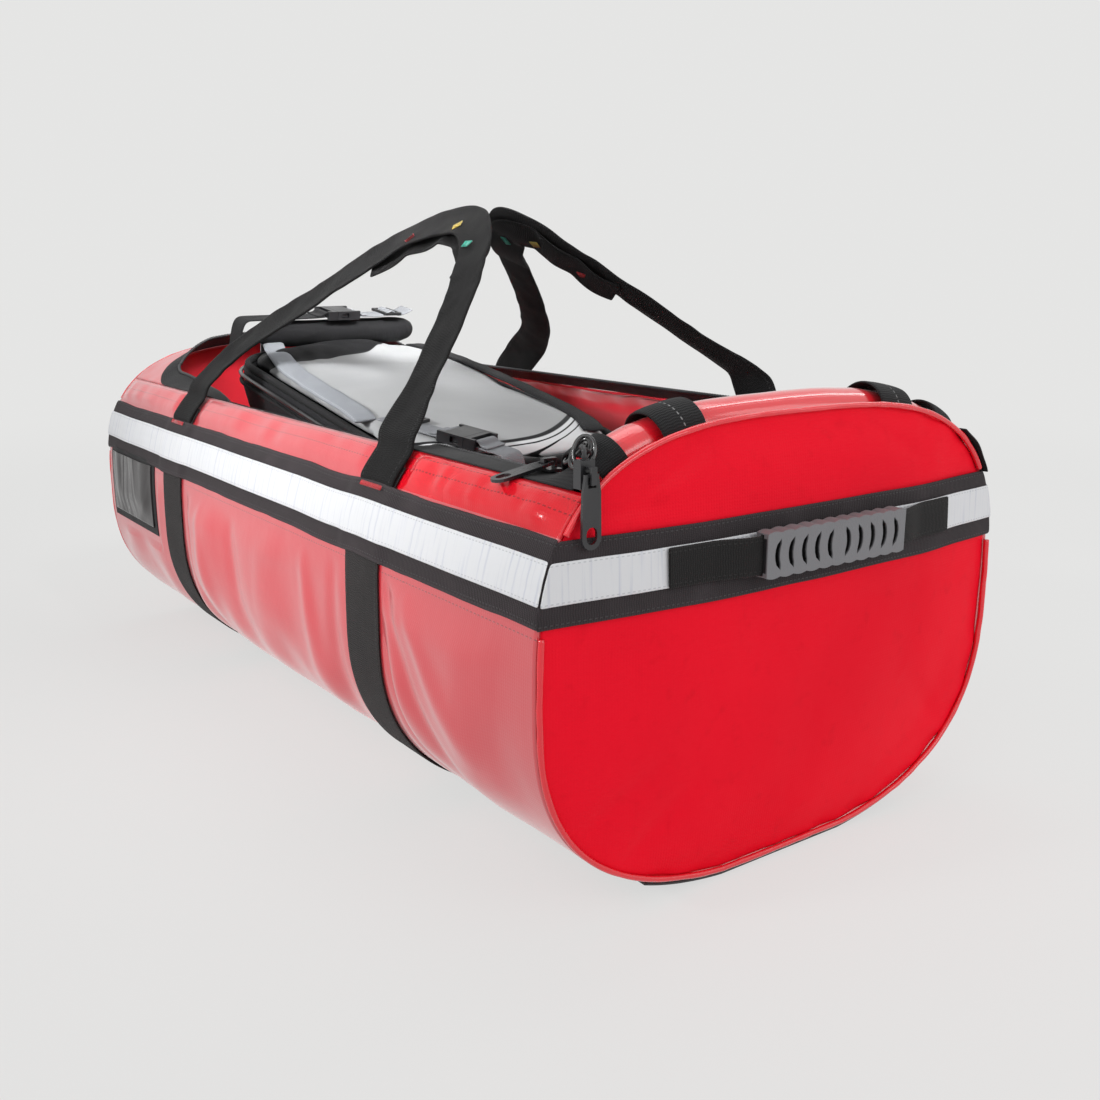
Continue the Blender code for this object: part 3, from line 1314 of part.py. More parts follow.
def make_buckle(prefix, frame, group, cutters):
    """A female sleeve up to the mouth at X 0, and a male part whose prongs lie inside it."""
    length = BUCKLE_SLEEVE + BUCKLE_SLOT + BUCKLE_BAR
    size = (length, BUCKLE_WIDTH, BUCKLE_THICKNESS)
    female = box(prefix + "_buckle_female", size, frame @ Matrix.Translation((-length / 2, 0, BAR_MIDDLE)),
                 "buckle_plastic", group)
    inside = (BUCKLE_WALL, BUCKLE_THICKNESS - BUCKLE_WALL)
    depth = PRONG_LENGTH + 2 * BUCKLE_CLEARANCE
    cut_box(female, "cavity", -depth, BUCKLE_WALL, BUCKLE_WIDTH - 2 * BUCKLE_WALL, inside, frame, cutters)
    cut_box(female, "windows", -BUCKLE_WINDOW[1], -BUCKLE_WINDOW[0], BUCKLE_WIDTH * 1.2, inside, frame, cutters)
    cut_bar(female, -length, 1, frame, cutters)
    bake(female)
    length = BUCKLE_BASE + BUCKLE_SLOT + BUCKLE_BAR
    size = (length, BUCKLE_WIDTH, BUCKLE_THICKNESS)
    place = frame @ Matrix.Translation((BUCKLE_CLEARANCE + length / 2, 0, BAR_MIDDLE))
    male = box(prefix + "_buckle_male", size, place, "buckle_plastic", group)
    cut_bar(male, BUCKLE_CLEARANCE + length, -1, frame, cutters)
    height = BUCKLE_THICKNESS - 2 * BUCKLE_WALL - 2 * BUCKLE_CLEARANCE
    reach = BUCKLE_WIDTH / 2 - BUCKLE_WALL - BUCKLE_CLEARANCE - PRONG_WIDTH / 2
    into = BUCKLE_BASE / 2
    for label, y, run in (("left_prong", reach, PRONG_LENGTH), ("right_prong", -reach, PRONG_LENGTH),
                          ("guide", 0.0, GUIDE_LENGTH)):
        prong = box(prefix + "_" + label, (run + into, PRONG_WIDTH, height),
                    frame @ Matrix.Translation(((into - run) / 2, y, BAR_MIDDLE)), None, cutters)
        join(male, prong)
    bake(male)


def make_strap_sets(group, cutters):
    lower, upper = strap_frames()
    female_bar = -(BUCKLE_SLEEVE + BUCKLE_SLOT + BUCKLE_BAR)
    male_bar = BUCKLE_CLEARANCE + BUCKLE_BASE + BUCKLE_SLOT + BUCKLE_BAR
    for prefix, frame in (("lower", lower), ("upper", upper)):
        make_buckle(prefix, frame, group, cutters)
        make_ladder_lock(prefix + "_ladder_lock", -LADDER_AWAY, frame, group, cutters)
        profile = [(-LADDER_AWAY - STRAP_TAIL, STRAP_LOW)] + ladder_weave(-LADDER_AWAY)
        profile += bar_fold(female_bar, 1)
        strap(prefix + "_strap", profile, frame, group)
    clear = GAP + CARRIER_WEBBING / 2
    fold = list(reversed(bar_fold(male_bar, -1)))
    past = max(RIM_LENGTH, PAD_LENGTH) / 2 - LOWER_STRAP[0] + STRAP_PAST_RIM
    rim_side = past / math.cos(math.radians(LOWER_STRAP_YAW))
    strap("lower_strap_end", fold + [(rim_side, STRAP_LOW), (rim_side + 0.004, -STRAP_FALL)], lower, group)
    end = HEAD_ROLL_LENGTH / 2 + UPPER_STRAP_Y + clear
    strap("upper_strap_end", fold + [(end, STRAP_LOW), (end, -HEAD_ROLL_RADIUS)], upper, group)


def main():
    clear_scene()
    group = new_collection("child_rescue_bag")
    cutters = new_collection("cutters")
    make_shell(group)
    make_end_panel("near_end_panel", 1, group)
    make_end_panel("far_end_panel", -1, group)
    make_far_deck(group)
    make_piping(group)
    make_bands(group)
    make_load_straps(group)
    make_base_panel(group)
    make_board(group)
    make_pocket(group)
    make_zip_tape(group)
    make_lid_roll(group)
    make_wraps(group)
    make_handles(group)
    make_grips(group, cutters)
    make_zip_hardware(group, cutters)
    make_carrier(group)
    make_strap_sets(group, cutters)


main()
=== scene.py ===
"""Child rescue bag, dressed: soft goods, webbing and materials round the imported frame.

Metres, in the frame's own axes: +X is the near end, -Y the left side, Z up.
"""
import math

import bmesh
import bpy
import numpy as np
from mathutils import Matrix, Vector


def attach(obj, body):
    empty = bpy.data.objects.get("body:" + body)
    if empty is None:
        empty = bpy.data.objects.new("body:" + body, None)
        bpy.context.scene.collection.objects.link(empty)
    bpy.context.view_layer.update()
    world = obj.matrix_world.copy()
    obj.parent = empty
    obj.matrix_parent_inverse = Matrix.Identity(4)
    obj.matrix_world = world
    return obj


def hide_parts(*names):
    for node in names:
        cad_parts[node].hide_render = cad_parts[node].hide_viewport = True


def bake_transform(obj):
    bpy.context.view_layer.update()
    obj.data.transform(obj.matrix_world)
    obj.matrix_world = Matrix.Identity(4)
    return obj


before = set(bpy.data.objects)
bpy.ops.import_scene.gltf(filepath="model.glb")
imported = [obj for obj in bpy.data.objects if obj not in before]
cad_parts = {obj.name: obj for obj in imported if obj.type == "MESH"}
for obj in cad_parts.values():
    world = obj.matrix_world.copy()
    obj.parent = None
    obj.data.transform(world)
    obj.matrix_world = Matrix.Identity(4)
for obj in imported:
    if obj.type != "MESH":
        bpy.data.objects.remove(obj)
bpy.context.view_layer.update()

# Sizes that the frame's solids were made from
GAP = 0.0003                    # between solids that touch
BAG_LENGTH, BAG_WIDTH, BAG_HEIGHT = 0.830, 0.418, 0.309
WIDEST_HEIGHT = 0.150
UPPER_SQUARENESS, LOWER_SQUARENESS = 3.1, 2.6
WALL = 0.0025
END_BULGE = 0.014
PIPING = 0.004
WEBBING = 0.0018
WEBBING_WIDTH = 0.050
NARROW_WEBBING = 0.025          # width of the grab straps and of the carrier's straps
BASE_SHEET = 0.0015
BASE_STACK = BASE_SHEET + WEBBING + 2 * GAP
SHELL_X = BAG_LENGTH / 2 - PIPING - GAP
EDGE_HEIGHT, EDGE_Y = 0.272, 0.17310
FAR_EDGE_X, FAR_CORNER_REACH, FAR_CORNER_SHARE = -0.386, 0.075, 0.42
NEAR_EDGE_X = 0.398
BAND_BOTTOM, BAND_TOP = 0.198, 0.248
STRIPE_BOTTOM, STRIPE_TOP = 0.2115, 0.2365
STRIPE = 0.0008
FOOT_X = 0.200                  # middle of the load straps and of the handles' feet
POCKET = (-0.402, -0.256, 0.126)        # its far end, its near end and its bottom
TAPE_WIDTH = 0.020
ROLL_X, ROLL_RADIUS, ROLL_END = 0.3885, 0.0185, 0.155
ROLL_HEIGHT, ROLL_DROP = 0.3010, 0.0265
HANDLE_WIDTH, HANDLE_THICKNESS = 0.048, 0.0026
LOOP_WIDTH, LOOP_THICKNESS = 0.036, 0.0020
GRIP_Y, GRIP_HEIGHT = 0.010, 0.224
GRIP_STANDOFF, GRIP_DEPTH = 0.0108, 0.0100

# The carrier: its place on the bag, then sizes in its own frame
CARRIER_X, CARRIER_TURN = -0.063, math.radians(3.0)
CARRIER = (Matrix.Translation((CARRIER_X, -0.012, 0.268)) @ Matrix.Rotation(CARRIER_TURN, 4, "Z")
           @ Matrix.Rotation(math.radians(8.5), 4, "Y"))
CARRIER_SHEAR = -0.085          # the soft carrier has slipped askew along the bag
RIM = (0.430, 0.228, 0.055)     # length, width and corner radius
TUB_BOTTOM = (0.360, 0.140, 0.045)
TUB_FOOT_Y = 0.0755             # how far out the tub stands on the bag's floor
PAD = (0.420, 0.215)
PAD_THICKNESS, PAD_CROWN = 0.012, 0.010
HEAD_ROLL_X, HEAD_ROLL_RADIUS, HEAD_ROLL_LENGTH = -0.190, 0.015, 0.190
LOWER_STRAP = Matrix(((0.92220, -0.35498, 0.15341, 0.12853), (0.35777, 0.93376, 0.00999, -0.07006),
                      (-0.14679, 0.04568, 0.98811, 0.25554), (0.0, 0.0, 0.0, 1.0)))
UPPER_STRAP = Matrix(((0.05234, 0.98766, 0.14761, -0.24452), (-0.99863, 0.05176, 0.00774, -0.01350),
                      (0.0, -0.14781, 0.98902, 0.34001), (0.0, 0.0, 0.0, 1.0)))
# Along a strap: its ladder-lock and the two halves' bars; above it: the heights that the webbing runs at
LADDER, FEMALE_BAR, MALE_BAR, BAR_REACH = -0.068, -0.0262, 0.0111, 0.0036
STRAP_LOW, STRAP_HIGH, STRAP_SECOND = 0.0019, 0.0071, 0.0038

# Pairs that the bag has at both sides and both ends, then the stage
SIDES = (("left", -1), ("right", 1))
ENDS = (("near", 1), ("far", -1))
BACKDROP = (0.785, 0.785, 0.778, 1.0)
WORLD_STRENGTH = 0.52
LAMPS = (                       # name, place, target, size, power, spread in degrees
    ("key", (0.9, -1.9, 1.9), (0.0, 0.0, 0.15), (1.6, 1.2), 9.0, 180.0),
    ("end_fill", (2.3, 0.5, 1.2), (0.3, 0.0, 0.15), (1.4, 1.2), 11.6, 180.0),
    ("top", (-0.4, 0.5, 2.2), (0.0, 0.0, 0.2), (1.8, 1.2), 9.0, 180.0),
    ("opening", (-0.1, -1.6, 0.95), (0.06, 0.190, 0.240), (0.35, 0.2), 1.3, 40.0),
    ("edge_strip", (1.35, 1.25, 0.80), (0.41, 0.0, 0.30), (0.25, 1.1), 1.2, 180.0),
    ("inside", (0.32, -0.02, 0.82), (-0.42, 0.06, 0.17), (0.2, 0.2), 0.5, 32.0),
    ("lid_strip", (0.30, 1.05, 1.31), (0.39, 0.0, 0.30), (0.12, 0.9), 1.7, 180.0))


# Camera, lights and floor


def add_object(name, data):
    made = bpy.data.objects.new(name, data)
    bpy.context.scene.collection.objects.link(made)
    return made


def aim(thing, place, way):
    """Puts a camera or lamp at a place, looking along a direction."""
    thing.location = place
    thing.rotation_euler = Vector(way).to_track_quat("-Z", "Y").to_euler()


def make_camera():
    """The photo's own camera, solved from the photo."""
    data = bpy.data.cameras.new("camera")
    data.sensor_width = 36.0
    data.lens = 38.462
    data.clip_start, data.clip_end = 0.05, 60.0
    camera = add_object("camera", data)
    aim(camera, (0.92154, -0.56573, 0.39878), (-0.78827, 0.56690, -0.23927))
    bpy.context.scene.camera = camera


def make_lamps():
    for name, place, target, size, power, spread in LAMPS:
        data = bpy.data.lights.new(name, "AREA")
        data.shape = "RECTANGLE"
        data.size, data.size_y = size
        data.energy = power
        data.spread = math.radians(spread)
        aim(add_object(name, data), place, Vector(target) - Vector(place))


# Shader building


class Nodes:
    """A node tree, built node by node."""

    def __init__(self, tree):
        self.tree = tree

    def node(self, kind, settings=None, **links):
        """Adds a node; a link goes by its socket's name, or by its place as i0, i1 and so on."""
        made = self.tree.nodes.new(kind)
        for setting, value in (settings or {}).items():
            setattr(made, setting, value)
        for name, value in links.items():
            self.put(made.inputs[int(name[1:]) if name[1:].isdigit() else name.replace("_", " ")], value)
        return made

    def put(self, socket, value):
        if isinstance(value, bpy.types.NodeSocket):
            self.tree.links.new(value, socket)
        else:
            socket.default_value = value

    def math(self, operation, first, second=0.0, third=0.0):
        made = self.node("ShaderNodeMath", {"operation": operation})
        for socket, value in zip(made.inputs, (first, second, third)):
            self.put(socket, value)
        return made.outputs[0]

    def plus(self, first, second):
        return self.math("ADD", first, second)

    def times(self, first, second):
        return self.math("MULTIPLY", first, second)

    def minus(self, first, second):
        return self.math("SUBTRACT", first, second)

    def apart(self, first, second):
        """How far two values are from each other."""
        return self.math("ABSOLUTE", self.minus(first, second))

    def most(self, *values):
        made = values[0]
        for value in values[1:]:
            made = self.math("MAXIMUM", made, value)
        return made


class Look(Nodes):
    """A material on one Principled shader; made is a material to go on with."""

    def __init__(self, name, made=None, **constants):
        self.made = made or bpy.data.materials.new(name)
        self.made.use_nodes = True
        super().__init__(self.made.node_tree)
        self.shader = self.tree.nodes["Principled BSDF"]
        for socket, value in constants.items():
            self.shader.inputs[socket.replace("_", " ")].default_value = value
        self.coordinates = None

    def uv(self):
        """Lengths in metres along and across a piece."""
        if self.coordinates is None:
            split = self.node("ShaderNodeSeparateXYZ", Vector=self.node("ShaderNodeUVMap").outputs[0])
            self.coordinates = split.outputs[0], split.outputs[1]
        return self.coordinates

    def place(self):
        return self.node("ShaderNodeTexCoord").outputs["Object"]

    def xyz(self):
        return self.node("ShaderNodeSeparateXYZ", Vector=self.place()).outputs

    def noise(self, scale, detail, vector=None, stretch=None, roughness=0.5, distortion=0.0):
        vector = vector or self.place()
        if stretch:
            vector = self.node("ShaderNodeMapping", Vector=vector, Scale=stretch).outputs[0]
        made = self.node("ShaderNodeTexNoise", Vector=vector, Scale=scale, Detail=detail, Roughness=roughness,
                         Distortion=distortion)
        return made.outputs["Fac"]

    def span(self, value, low, high, to_low=0.0, to_high=1.0):
        made = self.node("ShaderNodeMapRange", {"interpolation_type": "SMOOTHSTEP"}, i0=value, i1=low,
                         i2=high, i3=to_low, i4=to_high)
        return made.outputs[0]

    def mix(self, share, first, second):
        """The first colour turning to the second as the share goes to 1."""
        made = self.node("ShaderNodeMix", {"data_type": "RGBA"})
        for socket, value in ((made.inputs[0], share), (made.inputs[6], first), (made.inputs[7], second)):
            self.put(socket, (*value, 1.0) if isinstance(value, tuple) and len(value) == 3 else value)
        return made.outputs[2]

    def wave(self, value, pitch, phase=0.0):
        """0 to 1 and back once in a pitch."""
        turn = self.math("MULTIPLY_ADD", value, 2 * math.pi / pitch, phase)
        return self.math("MULTIPLY_ADD", self.math("SINE", turn), 0.5, 0.5)

    def line(self, value, middle, width):
        """1 on a line and 0 beside it."""
        return self.span(self.apart(value, middle), width * 0.35, width * 0.65, 1.0, 0.0)

    def stitches(self, along, across, middle, pitch=0.0042, share=0.62, width=0.0009):
        """Dashes of thread along a line."""
        saw = self.math("FRACT", self.math("DIVIDE", along, pitch))
        dash = self.span(self.apart(saw, 0.5), share / 2, share / 2 - 0.08)
        return self.times(dash, self.line(across, middle, width))

    def sew(self, colour, normal, middles, thread, strength, groove, ridge=None, **dashes):
        """Rows of stitches, each in a groove of a width, depth and strength."""
        along, across = self.uv()
        lines = self.most(*[self.stitches(along, across, middle, **dashes) for middle in middles])
        trough = self.most(*[self.line(across, middle, groove[0]) for middle in middles])
        colour = self.mix(self.times(lines, strength), colour, thread)
        layers = [(trough, *groove[1:])] + ([(lines, *ridge)] if ridge else [])
        return colour, self.relief(*layers, under=normal)

    def bump(self, height, distance, strength, under=None):
        made = self.node("ShaderNodeBump", Strength=strength, Distance=distance, Height=height)
        if under is not None:
            self.put(made.inputs["Normal"], under)
        return made.outputs[0]

    def relief(self, *layers, under=None):
        """Bumps laid over one another, each with its height, distance and strength."""
        for height, distance, strength in layers:
            under = self.bump(height, distance, strength, under)
        return under

    def finish(self, colour, roughness, normal):
        """Links the shader's three main inputs and gives the material."""
        for socket, value in (("Base Color", colour), ("Roughness", roughness), ("Normal", normal)):
            self.put(self.shader.inputs[socket], value)
        return self.made


RED = (0.80, 0.0065, 0.020)
# Painted light and shade: the same red PVC is made darker for the sides, lighter for the end panels and in a
# tone of its own for the near left lip, for how light falls on each.
SIDE_RED = (0.64, 0.0065, 0.022)
END_RED = (0.92, 0.0070, 0.025)
LIP_RED = (0.74, 0.005, 0.016)
# Painted light: the lining's red is brightened so that the inner walls, which lie in shade, look lit.
BRIGHTENED_LINING_RED = (0.98, 0.024, 0.046)
DEEP_RED = (0.56, 0.003, 0.010)
BLACK = (0.048, 0.040, 0.043)


def shade(colour, factor):
    return tuple(min(1.0, value * factor) for value in colour)


def red_pvc(name, sewn=(), *, roughness, coat, specular=0.5, coat_roughness=0.12, crease=1.0, veil=0.0,
            red=RED):
    """Coated tarpaulin: a faint scrim under the gloss, soft creases, scuffs and sewn lines."""
    look = Look(name, Specular_IOR_Level=specular, Coat_Weight=coat, Coat_Roughness=coat_roughness,
                Coat_IOR=1.5 + veil, Sheen_Weight=veil, Sheen_Roughness=0.45)
    along, across = look.uv()
    broad = look.noise(5.0, 3.0)
    fine = look.noise(70.0, 4.0)
    colour = look.mix(look.span(broad, 0.35, 0.75), red, shade(red, 0.90))
    colour = look.mix(look.span(fine, 0.55, 0.85, 0.0, 0.25), colour, DEEP_RED)
    scuff = look.span(look.noise(26.0, 4.0, stretch=(0.4, 1.0, 1.2), distortion=0.8), 0.60, 0.78)
    gloss = look.plus(look.span(broad, 0.3, 0.7, roughness, roughness + 0.10),
                      look.times(scuff, 0.05))
    scrim = look.times(look.wave(along, 0.0021), look.wave(across, 0.0021))
    creases = look.noise(9.0, 2.5, stretch=(1.0, 1.0, 0.55), roughness=0.45, distortion=0.5)
    normal = look.relief((creases, 0.012 * crease, 0.35), (fine, 0.0012, 0.25), (scrim, 0.0002, 0.35))
    if sewn:
        colour, normal = look.sew(colour, normal, sewn, (0.30, 0.004, 0.008), 0.75, (0.0050, 0.0014, -0.6),
                                  (0.0005, 0.8))
    return look.finish(colour, gloss, normal)


def webbing(name, base, width=None, sewn=(), thread=None, pitch=0.0017, sheen=0.03, edge=0.0, lighter_tone=1.5):
    """Woven tape: ribs across, a twill along, thicker edges and sewn lines."""
    look = Look(name, Sheen_Weight=sheen, Sheen_Roughness=0.5, Specular_IOR_Level=0.12)
    along, across = look.uv()
    slant = look.plus(along, look.times(look.wave(across, 0.0062), 0.0004))
    ribs = look.wave(slant, pitch)
    threads = look.times(ribs, look.span(look.wave(across, 0.0011), 0.0, 1.0, 0.45, 1.0))
    patches = look.noise(24.0, 4.0)
    light = shade(base, lighter_tone)
    colour = look.mix(threads, shade(base, 0.62), base)
    colour = look.mix(look.span(patches, 0.45, 0.8, 0.0, 0.55), colour, light)
    fuzz = look.noise(420.0, 2.0)
    height = look.plus(threads, look.times(fuzz, 0.35))
    normal = look.bump(height, 0.0005, 0.75)
    if sewn:
        colour, normal = look.sew(colour, normal, sewn, thread or light, 0.8, (0.0030, 0.0007, -0.6),
                                  (0.0004, 0.9), pitch=0.0036)
    if edge and width:
        rim = look.span(look.math("ABSOLUTE", across), width / 2 - edge, width / 2 - edge * 0.4)
        colour = look.mix(look.times(rim, 0.35), colour, light)
        normal = look.bump(rim, 0.0005, 0.5, normal)
    roughness = look.span(patches, 0.3, 0.8, 0.62, 0.82)
    return look.finish(colour, roughness, normal)


def reflective(name):
    """Reflective tape: fine beads and cross streaks, sewn down along both edges."""
    look = Look(name, Specular_IOR_Level=0.6)
    along, across = look.uv()
    pair = look.node("ShaderNodeCombineXYZ", X=along, Y=across).outputs[0]
    streaks = look.noise(1.0, 4.0, vector=pair, stretch=(260.0, 9.0, 1.0))
    broad = look.noise(1.0, 2.0, vector=pair, stretch=(34.0, 12.0, 1.0))
    beads = look.noise(900.0, 2.0)
    colour = look.mix(look.span(streaks, 0.50, 0.72), (0.70, 0.71, 0.73), (0.54, 0.56, 0.63))
    colour = look.mix(look.span(broad, 0.45, 0.80, 0.0, 0.35), colour, (0.70, 0.71, 0.76))
    normal = look.relief((streaks, 0.0006, 0.30), (beads, 0.00015, 0.4))
    colour, normal = look.sew(colour, normal, (0.0108, -0.0108), (0.40, 0.41, 0.44), 0.6,
                              (0.0024, 0.0006, -0.5), pitch=0.0036, share=0.6, width=0.0007)
    return look.finish(colour, look.span(streaks, 0.3, 0.8, 0.34, 0.52), normal)


def zip_tape_look(name):
    """Zip tape: ribs along its length and a sewn line."""
    look = Look(name, Sheen_Weight=0.02, Specular_IOR_Level=0.15)
    along, across = look.uv()
    ribs = look.wave(across, 0.0026)
    weave = look.wave(along, 0.0013)
    patches = look.noise(30.0, 3.0)
    colour = look.mix(ribs, (0.011, 0.011, 0.012), (0.019, 0.019, 0.020))
    colour = look.mix(look.span(patches, 0.5, 0.8, 0.0, 0.4), colour, (0.040, 0.040, 0.042))
    normal = look.relief((ribs, 0.0004, 0.5), (weave, 0.0002, 0.5))
    return look.finish(colour, look.span(patches, 0.3, 0.8, 0.5, 0.7), normal)


def moulded(name, base, roughness, grain=0.0003, specular=0.5, lighter_tone=1.4, scale=260.0):
    """Moulded or cast parts: fine spark grain, faint blotches and edges lightened as a painted highlight."""
    look = Look(name, Specular_IOR_Level=specular)
    patches = look.noise(34.0, 4.0)
    fine = look.noise(scale, 3.0)
    light = shade(base, lighter_tone)
    # Painted highlight: edges, found by pointiness, are lightened to the lighter tone.
    edges = look.node("ShaderNodeNewGeometry").outputs["Pointiness"]
    colour = look.mix(look.span(patches, 0.4, 0.8, 0.0, 0.5), base, light)
    colour = look.mix(look.span(edges, 0.52, 0.60, 0.0, 0.5), colour, light)
    normal = look.bump(fine, grain, 0.5)
    return look.finish(colour, look.span(patches, 0.3, 0.8, roughness, roughness + 0.14), normal)


def cloth(name, base, pitch=0.0011, roughness=0.7, sheen=0.03, sewn=(), lighter_tone=1.5, crease=1.0):
    """Plain woven cloth with soft puckers."""
    look = Look(name, Sheen_Weight=sheen, Sheen_Roughness=0.5, Specular_IOR_Level=0.15)
    along, across = look.uv()
    weave = look.plus(look.wave(along, pitch), look.wave(across, pitch, 1.6))
    patches = look.noise(18.0, 5.0, distortion=0.5)
    light = shade(base, lighter_tone)
    colour = look.mix(look.span(patches, 0.40, 0.75), base, light)
    colour = look.mix(look.span(weave, 0.0, 2.0, 0.25, 0.0), colour, shade(base, 0.5))
    normal = look.relief((patches, 0.006 * crease, 0.5), (weave, 0.00025, 0.6))
    if sewn:
        colour, normal = look.sew(colour, normal, sewn, light, 0.8, (0.0036, 0.0010, -0.7), pitch=0.0036)
    return look.finish(colour, look.span(patches, 0.3, 0.8, roughness, roughness + 0.12), normal)


def floor_look():
    """The pale sweep, which keeps a faint shadow."""
    look = Look("floor")
    look.tree.nodes.remove(look.shader)
    grain = look.noise(3.0, 2.0)
    tone = look.mix(grain, (0.80, 0.80, 0.795), (0.82, 0.82, 0.815))
    diffuse = look.node("ShaderNodeBsdfDiffuse", Color=tone).outputs[0]
    glow = look.node("ShaderNodeEmission", Color=BACKDROP, Strength=1.0).outputs[0]
    rays = look.node("ShaderNodeLightPath").outputs
    seen = look.most(rays["Is Camera Ray"], rays["Is Glossy Ray"], rays["Is Transmission Ray"])
    away = look.node("ShaderNodeVectorMath", {"operation": "LENGTH"}, i0=look.place()).outputs[1]
    share = look.times(seen, look.span(away, 0.55, 2.4, 0.80, 1.0))
    mixed = look.node("ShaderNodeMixShader", i0=share, i1=diffuse, i2=glow).outputs[0]
    look.put(look.tree.nodes["Material Output"].inputs["Surface"], mixed)
    return look.made


def make_world():
    """Plain soft light, and the backdrop's own tone for what the camera and gloss see."""
    scene = bpy.context.scene
    scene.view_settings.view_transform = "Standard"
    scene.world = scene.world or bpy.data.worlds.new("world")
    scene.world.use_nodes = True
    nodes = Nodes(scene.world.node_tree)
    nodes.tree.nodes.clear()
    rays = nodes.node("ShaderNodeLightPath").outputs
    shown = nodes.most(rays["Is Camera Ray"], rays["Is Glossy Ray"])
    soft = nodes.node("ShaderNodeBackground", Color=(1.0, 1.0, 1.0, 1.0), Strength=WORLD_STRENGTH).outputs[0]
    seen = nodes.node("ShaderNodeBackground", Color=BACKDROP).outputs[0]
    mixed = nodes.node("ShaderNodeMixShader", i0=shown, i1=soft, i2=seen).outputs[0]
    nodes.node("ShaderNodeOutputWorld", Surface=mixed)


def make_floor():
    shape = bmesh.new()
    bmesh.ops.create_circle(shape, cap_ends=True, segments=96, radius=9.0)
    mesh = bpy.data.meshes.new("floor")
    shape.to_mesh(mesh)
    shape.free()
    mesh.materials.append(floor_look())
    add_object("floor", mesh)


# Mesh building


def fade(value):
    value = np.clip(value, 0.0, 1.0)
    return value * value * (3 - 2 * value)


def rise(value, low, high):
    """0 at low, 1 at high, smooth between."""
    return fade((np.asarray(value, float) - low) / (high - low))


def wobble(a, b, scale, seed):
    """Smooth noise over two coordinates, between -1 and 1."""
    a, b = np.broadcast_arrays(np.asarray(a, float) / scale + 31.7, np.asarray(b, float) / scale + 17.3)
    whole_a, whole_b = np.floor(a), np.floor(b)
    part_a, part_b = fade(a - whole_a), fade(b - whole_b)

    def corner(i, j):
        value = np.sin((whole_a + i) * 127.1 + (whole_b + j) * 311.7 + seed * 74.7) * 43758.5453
        return (value - np.floor(value)) * 2 - 1

    low = corner(0, 0) * (1 - part_a) + corner(1, 0) * part_a
    high = corner(0, 1) * (1 - part_a) + corner(1, 1) * part_a
    return low * (1 - part_b) + high * part_b


def fold(a, b, start, end, width, height):
    """A crease or ridge along a line between two points, dying out at both ends."""
    start, end = np.array(start, float), np.array(end, float)
    way = end - start
    size = np.hypot(*way)
    way = way / size
    along = (a - start[0]) * way[0] + (b - start[1]) * way[1]
    across = (a - start[0]) * -way[1] + (b - start[1]) * way[0]
    share = np.clip(along / size, 0, 1)
    reach = np.sin(np.pi * share) ** 0.7 * (along > 0) * (along < size)
    return height * reach * np.exp(-(across / (width * (0.6 + 0.8 * share))) ** 2)


def grid(first, second):
    """Every pair of two rows of numbers, as two grids."""
    return np.meshgrid(first, second, indexing="ij")


def stack(*parts):
    """Points from grids of their coordinates."""
    return np.stack(parts, -1)


def unit(rows):
    return rows / np.linalg.norm(rows, axis=1)[:, None]


def lengths_of(points):
    """How far along a line each of its points is."""
    steps = np.linalg.norm(np.diff(points, axis=0), axis=1)
    return np.concatenate([[0.0], np.cumsum(steps)])


def resampled(line, total, places):
    """A line's points at some of its lengths."""
    return np.stack([np.interp(places, total, line[:, axis]) for axis in range(line.shape[1])], 1)


def moved(points, matrix):
    matrix = np.array(matrix)
    return points @ matrix[:3, :3].T + matrix[:3, 3]


def add_subdivision(piece, levels=1):
    change = piece.modifiers.new("smooth", "SUBSURF")
    change.levels = change.render_levels = levels


def finish_piece(piece, body, replaces, slot):
    """Puts a piece on the body it rides on, and hides the frame's parts that it replaces."""
    if body:
        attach(piece, body)
    if replaces:
        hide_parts(*replaces)
    return piece


def grid_faces(shape, wide, wrap, flip):
    """Quads over a grid of points, and where their corners are in a grid of uv with wide columns."""
    rows, columns = shape
    i, j = grid(np.arange(rows - (not wrap[0])), np.arange(columns - (not wrap[1])))
    i, j = i.ravel(), j.ravel()
    quads = np.stack([i * columns + j, i * columns + (j + 1) % columns,
                      (i + 1) % rows * columns + (j + 1) % columns, (i + 1) % rows * columns + j], 1)
    marks = np.stack([i * wide + j, i * wide + j + 1, (i + 1) * wide + j + 1, (i + 1) * wide + j], 1)
    return (quads[:, ::-1], marks[:, ::-1]) if flip else (quads, marks)


def surface(name, points, uv, look, body, replaces=(), slot=None, thick=0.0, side=0.0, wrap=(False, False),
            smooth=0, caps=False, flip=False, lining=None):
    """A skin over a grid of points; uv holds a length along and a length across for each."""
    rows, columns = points.shape[:2]
    wide = uv.shape[1]
    quads, marks = grid_faces((rows, columns), wide, wrap, flip)
    faces = quads.tolist()
    flat = uv.reshape(-1, 2)
    loops = flat[marks.ravel()]
    if caps:
        ends = [list(range(columns)), list(range((rows - 1) * columns, rows * columns))]
        ends[0 if not flip else 1].reverse()
        for end, row in zip(ends, (0, rows - 1)):
            faces.append(end)
            loops = np.vstack([loops, flat[[row * wide + index % columns for index in end]]])
    mesh = bpy.data.meshes.new(name)
    mesh.from_pydata(points.reshape(-1, 3).tolist(), [], faces)
    mesh.uv_layers.new(name="UVMap").data.foreach_set("uv", loops.astype(np.float32).ravel())
    mesh.polygons.foreach_set("use_smooth", [True] * len(mesh.polygons))
    mesh.materials.append(look)
    piece = add_object(name, mesh)
    if thick:
        change = piece.modifiers.new("thickness", "SOLIDIFY")
        change.thickness, change.offset = thick, side
        if lining:
            mesh.materials.append(lining)
            change.material_offset = 1
    if smooth:
        add_subdivision(piece, smooth)
    return finish_piece(piece, body, replaces, slot)


def tape(name, points, uv, look, body, replaces, slot, thick, flip=False):
    """Webbing or tape: a thickened, subdivided skin whose points are its middle."""
    return surface(name, points, uv, look, body, replaces, slot, thick, smooth=1, flip=flip)


